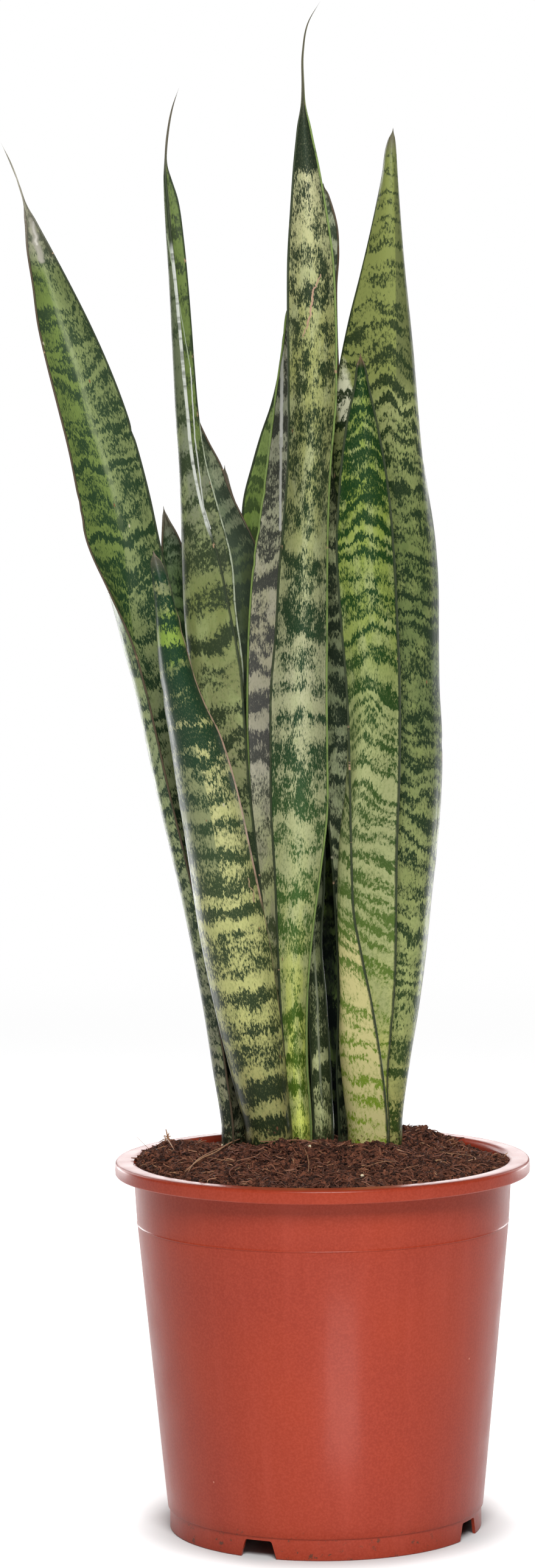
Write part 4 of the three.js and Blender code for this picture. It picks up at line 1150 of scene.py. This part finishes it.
def soil_earth():
    """Dark, moist earth whose grains go from nearly black to light brown."""
    g = Graph("potting_soil_earth")
    place = g.place()
    grain = g.noise(place, 5.0, 0.75, 900.0)
    coarse = g.noise(place, 2.0, 0.5, 90.0)
    share = g.plus(g.times(g.attribute("tint")["Fac"], 0.6), g.spread(grain, 2.0))
    earth = g.ramp(share, 0.0, 1.0, [(0.0, (0.022, 0.008, 0.005)), (0.3, (0.125, 0.042, 0.023)),
                                     (0.65, (0.31, 0.108, 0.057)), (1.0, (0.52, 0.22, 0.12))])
    earth = g.mix(g.times(g.rise(coarse, 0.45, 0.75), 0.4), earth, (0.05, 0.018, 0.011))
    g.shade({"Base Color": earth, "Roughness": 0.82, "Specular IOR Level": 0.3})
    g.bump(grain, 1.0, 0.0016)
    return g.material


def fibre_straw():
    """Fibres from dark brown to the light brown of the longest straws."""
    g = Graph("fibre_straw")
    grain = g.noise(g.place(), 3.0, 0.6, 700.0)
    share = g.plus(g.attribute("tint")["Fac"], g.spread(grain, 0.5))
    straw = g.ramp(share, 0.0, 1.0, [(0.0, (0.06, 0.019, 0.010)), (0.7, (0.17, 0.056, 0.029)),
                                     (0.95, (0.28, 0.12, 0.062)), (1.0, (0.42, 0.23, 0.12))])
    g.shade({"Base Color": straw, "Roughness": 0.7})
    g.bump(grain, 0.5, 0.0003)
    return g.material


def perlite_white():
    g = Graph("perlite_white")
    grain = g.noise(g.place(), 3.0, 0.6, 900.0)
    g.shade({"Base Color": g.mix(grain, (0.60, 0.48, 0.30), (0.80, 0.70, 0.50)), "Roughness": 0.8})
    g.bump(grain, 0.6, 0.0004)
    return g.material


def crumb_shape(rng, subdivisions, rough, flat):
    """One lump of soil about 1 unit across, flattened by two shares, back and up."""
    bm = bmesh.new()
    bmesh.ops.create_icosphere(bm, subdivisions=subdivisions, radius=0.5)
    for vertex in bm.verts:
        vertex.co *= 1 + rough * rng.uniform(-1, 1)
        vertex.co.y *= flat[0]
        vertex.co.z *= flat[1]
    return mesh_of(bm, "crumb")


def fibre_shape(rng, thickness, bend, steps, sides):
    """A bent, tapered fibre 1 unit long, lying about its middle, along X."""
    bm = bmesh.new()
    sway = rng.uniform(-1, 1, 4) * bend
    rows = []
    for step in range(steps + 1):
        t = step / steps
        bow, curl = math.sin(math.pi * t), math.sin(math.tau * t)
        rise = abs(sway[2]) * bow + 0.4 * sway[3] * curl
        centre = Vector((t - 0.5, sway[0] * bow + sway[1] * curl, rise))
        radius = thickness / 2 * (0.45 + 0.55 * math.sin(math.pi * min(max(t, 0.08), 0.92)))
        turns = [math.tau * k / sides for k in range(sides)]
        around = [Vector((0, radius * math.cos(a), radius * math.sin(a))) for a in turns]
        rows.append([bm.verts.new(centre + off) for off in around])
    join_rings(bm, rows, sides)
    bm.faces.new(rows[0][::-1])
    bm.faces.new(rows[-1])
    bmesh.ops.recalc_face_normals(bm, faces=bm.faces)
    return mesh_of(bm, "fibre")


def scatter_tree(name, collection, material):
    """Geometry nodes that strew a collection's shapes over a surface, and realize them."""
    tree = bpy.data.node_groups.new(name, "GeometryNodeTree")
    face = tree.interface
    face.new_socket("Geometry", in_out="INPUT", socket_type="NodeSocketGeometry")
    sockets = {}
    for label in ("Density", "Smallest", "Largest", "Tilt", "Lift", "Seed"):
        kind = "NodeSocketInt" if label == "Seed" else "NodeSocketFloat"
        sockets[label] = face.new_socket(label, in_out="INPUT", socket_type=kind).identifier
    face.new_socket("Geometry", in_out="OUTPUT", socket_type="NodeSocketGeometry")
    g = Nodes(tree)
    given = g.add("NodeGroupInput", {}).outputs

    def random(low, high, offset):
        """A random number for each shape. Each offset from the seed gives its own draw."""
        inputs = {2: low, 3: high, "Seed": g.plus(given["Seed"], offset)}
        return g.add("FunctionNodeRandomValue", inputs, data_type="FLOAT").outputs[1]

    points = g.add("GeometryNodeDistributePointsOnFaces",
                   {"Mesh": given["Geometry"], "Density": given["Density"], "Seed": given["Seed"]})
    tilt = given["Tilt"]
    tilts = [random(g.times(tilt, -1.0), tilt, offset) for offset in (11, 12)]
    turn = g.join(*tilts, random(0.0, math.tau, 13))
    shapes = g.add("GeometryNodeCollectionInfo",
                   {"Collection": collection, "Separate Children": True, "Reset Children": True})
    uneven = g.math("POWER", random(0.0, 1.0, 14), 2.0)
    size_range = g.minus(given["Largest"], given["Smallest"])
    size = g.plus(given["Smallest"], g.times(uneven, size_range))
    laid = g.add("GeometryNodeInstanceOnPoints",
                 {"Points": points.outputs["Points"], "Instance": shapes.outputs[0], "Pick Instance": True,
                  "Rotation": turn, "Scale": size})
    tinted = g.add("GeometryNodeStoreNamedAttribute",
                   {"Geometry": laid.outputs[0], "Name": "tint", "Value": random(0.0, 1.0, 15)},
                   data_type="FLOAT", domain="INSTANCE")
    up = g.join(0.0, 0.0, g.times(given["Lift"], size))
    lifted = g.add("GeometryNodeTranslateInstances",
                   {"Instances": tinted.outputs[0], "Translation": up, "Local Space": False})
    solid = g.add("GeometryNodeRealizeInstances", {0: lifted.outputs[0]})
    painted = g.add("GeometryNodeSetMaterial", {"Geometry": solid.outputs[0], "Material": material})
    g.add("NodeGroupOutput", {"Geometry": painted.outputs[0]})
    return tree, sockets


def strewn(name, top, shapes, material, count, smallest, largest, tilt, lift, seed):
    """A piece made of about so many shapes, strewn over a surface. Their sizes are in millimetres, tilt
    in radians, and lift a share of their size."""
    surface, area = top
    collection = bpy.data.collections.new(name + "_shapes")
    bpy.context.scene.collection.children.link(collection)
    for i, shape in enumerate(shapes):
        collection.objects.link(bpy.data.objects.new(f"{name}_shapes_{i}", shape))
    tree, sockets = scatter_tree(name + "_scatter", collection, material)
    carrier = add_object(name + "_carrier", surface)
    modifier = carrier.modifiers.new("scatter", "NODES")
    modifier.node_group = tree
    values = {"Density": count / area, "Smallest": smallest * MM, "Largest": largest * MM,
              "Tilt": tilt, "Lift": lift, "Seed": seed}
    for label, value in values.items():
        modifier[sockets[label]] = value
    mesh = plain_mesh(carrier)
    for shape in list(collection.objects):
        bpy.data.objects.remove(shape)
    bpy.data.collections.remove(collection)
    link_piece(name, mesh, material, "potting_soil")


def soil_top(bed, reach):
    """The bed's upward faces within a radius, as a surface to strew on, and their area."""
    bm = bmesh.new()
    bm.from_mesh(bed)
    out = []
    for face in bm.faces:
        centre = face.calc_center_median()
        if centre.z < (LOWEST_TOP + 2) * MM or face.normal.z < 0.3 or centre.xy.length > reach * MM:
            out.append(face)
    bmesh.ops.delete(bm, geom=out, context="FACES")
    area = sum(face.calc_area() for face in bm.faces)
    return mesh_of(bm, "soil_top"), area


def laid_straws(bed, material):
    """The listed straws: tapered tubes that follow their points over the bed."""
    bm = bmesh.new()
    bm.from_mesh(bed)
    tree = BVHTree.FromBMesh(bm)
    bm.free()
    curve = bpy.data.curves.new("laid_straws", "CURVE")
    curve.dimensions = "3D"
    curve.bevel_depth = 0.5 * MM
    curve.bevel_resolution = 1
    curve.use_fill_caps = True
    curve.resolution_u = 6
    for places, thickness in LAID_STRAWS:
        spline = curve.splines.new("NURBS")
        spline.points.add(len(places) - 1)
        spline.order_u = 3
        spline.use_endpoint_u = True
        for point, (x, y, up) in zip(spline.points, places):
            # A point that hangs over the pot's rim takes its height from the bed beside it.
            over_bed = Vector((max(x, -BED_REACH) * MM, y * MM, 0.25))
            ground = tree.ray_cast(over_bed, DOWN)[0]
            point.co = (x * MM, y * MM, ground.z + (LAID_HEIGHT + up) * MM, 1)
            point.radius = thickness
        spline.points[0].radius = spline.points[-1].radius = 0.4 * thickness
    mesh = plain_mesh(add_object("laid_straws_path", curve))
    set_tint(mesh, 1.0)
    smooth(mesh)
    link_piece("soil_laid_straws", mesh, material, "potting_soil")


def make_soil():
    bed = soil_bed()
    smooth(bed)
    set_tint(bed, 0.25)
    earth = soil_earth()
    straw = fibre_straw()
    link_piece("soil_body", bed, earth, "potting_soil", "potting_soil")
    top = soil_top(bed, BITS_REACH)
    inner_top = soil_top(bed, STRAWS_REACH)
    rng = np.random.default_rng(41)
    crumbs = [crumb_shape(rng, 1, 0.28, (0.8, 0.6)) for _ in range(6)]
    strewn("soil_crumbs", top, crumbs, earth, CRUMB_COUNT, 1.0, 4.4, tilt=1.2, lift=0.12, seed=5)
    grit = [crumb_shape(rng, 1, 0.3, (0.55, 0.4)) for _ in range(4)]
    strewn("soil_grit", top, grit, earth, GRIT_COUNT, 0.7, 2.4, tilt=0.9, lift=0.55, seed=9)
    fibres = [fibre_shape(rng, 0.11, 0.11, 5, 4) for _ in range(6)]
    strewn("soil_fibres", top, fibres, straw, FIBRE_COUNT, 2.0, 8.0, tilt=0.6, lift=0.16, seed=17)
    straws = [fibre_shape(rng, 0.022, 0.12, 10, 5) for _ in range(5)]
    strewn("soil_straws", inner_top, straws, straw, STRAW_COUNT, 16, 44, tilt=0.16, lift=0.04, seed=23)
    laid_straws(bed, straw)
    grains = [crumb_shape(rng, 2, 0.16, (0.9, 0.8)) for _ in range(3)]
    strewn("soil_perlite", inner_top, grains, perlite_white(), PERLITE_COUNT, 1.3, 2.6,
           tilt=1.0, lift=0.7, seed=30)


# ---- The stage and the light ----

# Metres from the pot's axis: the floor's edge, where the floor starts and ends to brighten, and about how
# far out the pot shades it, where the floor's glow is taken away as painted shade.
FLOOR_RADIUS = 12
FLOOR_NEAR = 0.6
FLOOR_FAR = 2.6
PAINTED_SHADE_REACH = 0.095
# How bright the floor glows near the pot, how much of the surroundings' light reaches the object, and how
# much of it comes from overhead. The walls end, and the ceiling starts, at these slopes.
FLOOR_GLOW = 0.72
WALL_LIGHT = 0.22
CEILING_LIGHT = 0.2
WALL_END = 0.12
CEILING_START = 0.4

# Each light's place and aim in metres, its width and height in metres, and its power in watts.
LIGHTS = {
    "key": ((0.12, -1.75, 1.8), (0, 0, 0.36), 1.0, 0.9, 60),
    "low_card": ((0.035, -0.20, 0.004), (0.01, 0, 0.22), 0.07, 0.17, 0.14),
    "back_card": ((0, 1.6, 0.5), (0, 0, 0.19), 1.1, 0.3, 6),
    "edge_left": ((-0.9, 1.2, 0.12), (0, 0, 0.1), 0.5, 0.24, 2.4),
    "edge_right": ((0.9, 1.2, 0.12), (0, 0, 0.1), 0.5, 0.24, 2.4),
    "rim_left": ((-1.1, 1.6, 0.6), (0, 0, 0.4), 0.6, 1.7, 17),
    "rim_right": ((1.2, 1.6, 0.6), (0, 0, 0.4), 0.45, 1.7, 11),
}


def stage_floor():
    """A pale floor that brightens with distance until it meets the white surroundings. Close round
    the pot its glow is taken away, a painted shade.
    """
    bm = bmesh.new()
    bmesh.ops.create_circle(bm, cap_ends=True, radius=FLOOR_RADIUS, segments=96)
    mesh = mesh_of(bm, "floor")
    floor = add_object("floor", mesh)
    g = Graph("pale_floor")
    length = g.add("ShaderNodeVectorMath", {0: g.place()}, operation="LENGTH").outputs["Value"]
    far = g.rise(length, FLOOR_NEAR, FLOOR_FAR)
    glow = g.plus(g.times(far, 1 - FLOOR_GLOW), FLOOR_GLOW)
    # Painted shade: no glow close round the pot.
    clear = g.rise(length, 0.75 * PAINTED_SHADE_REACH, 1.2 * PAINTED_SHADE_REACH)
    g.shade({"Base Color": g.mix(far, (0.62, 0.62, 0.62), (0.0, 0.0, 0.0)), "Roughness": 1.0,
             "Specular IOR Level": 0.0, "Emission Color": (1.0, 1.0, 1.0),
             "Emission Strength": g.times(glow, clear)})
    mesh.materials.append(g.material)


def soft_light(name, place, aim, width, height, power):
    data = bpy.data.lights.new(name, "AREA")
    data.shape = "RECTANGLE"
    data.size = width
    data.size_y = height
    data.energy = power
    light = add_object(name, data)
    light.location = place
    light.rotation_euler = (Vector(aim) - Vector(place)).to_track_quat("-Z", "Y").to_euler()
    light.visible_camera = False


def light_scene():
    """White surroundings, dimmer overhead and dimmer still as a light than as the camera sees them, and
    the soft lights: a large key over the camera, a small card low in front of the pot, a wide card behind
    it, two low panels for the pot's edges and two tall ones behind the leaves."""
    world = bpy.data.worlds.new("studio")
    bpy.context.scene.world = world
    world.use_nodes = True
    g = Nodes(world.node_tree)
    sky = g.tree.nodes["Background"]
    up = g.split(g.add("ShaderNodeTexCoord", {}).outputs["Generated"])[2]
    fade = g.ranged(up, WALL_END, CEILING_START, 1.0, CEILING_LIGHT)
    seen = g.add("ShaderNodeLightPath", {}).outputs["Is Camera Ray"]
    g.put(sky.inputs["Color"], (1, 1, 1))
    g.put(sky.inputs["Strength"], g.times(fade, g.ranged(seen, 0.0, 1.0, WALL_LIGHT, 1.0)))
    for name, light in LIGHTS.items():
        soft_light(name, *light)


bpy.context.scene.view_settings.view_transform = "Standard"
make_camera()
make_leaves()
make_pot()
make_soil()
stage_floor()
light_scene()
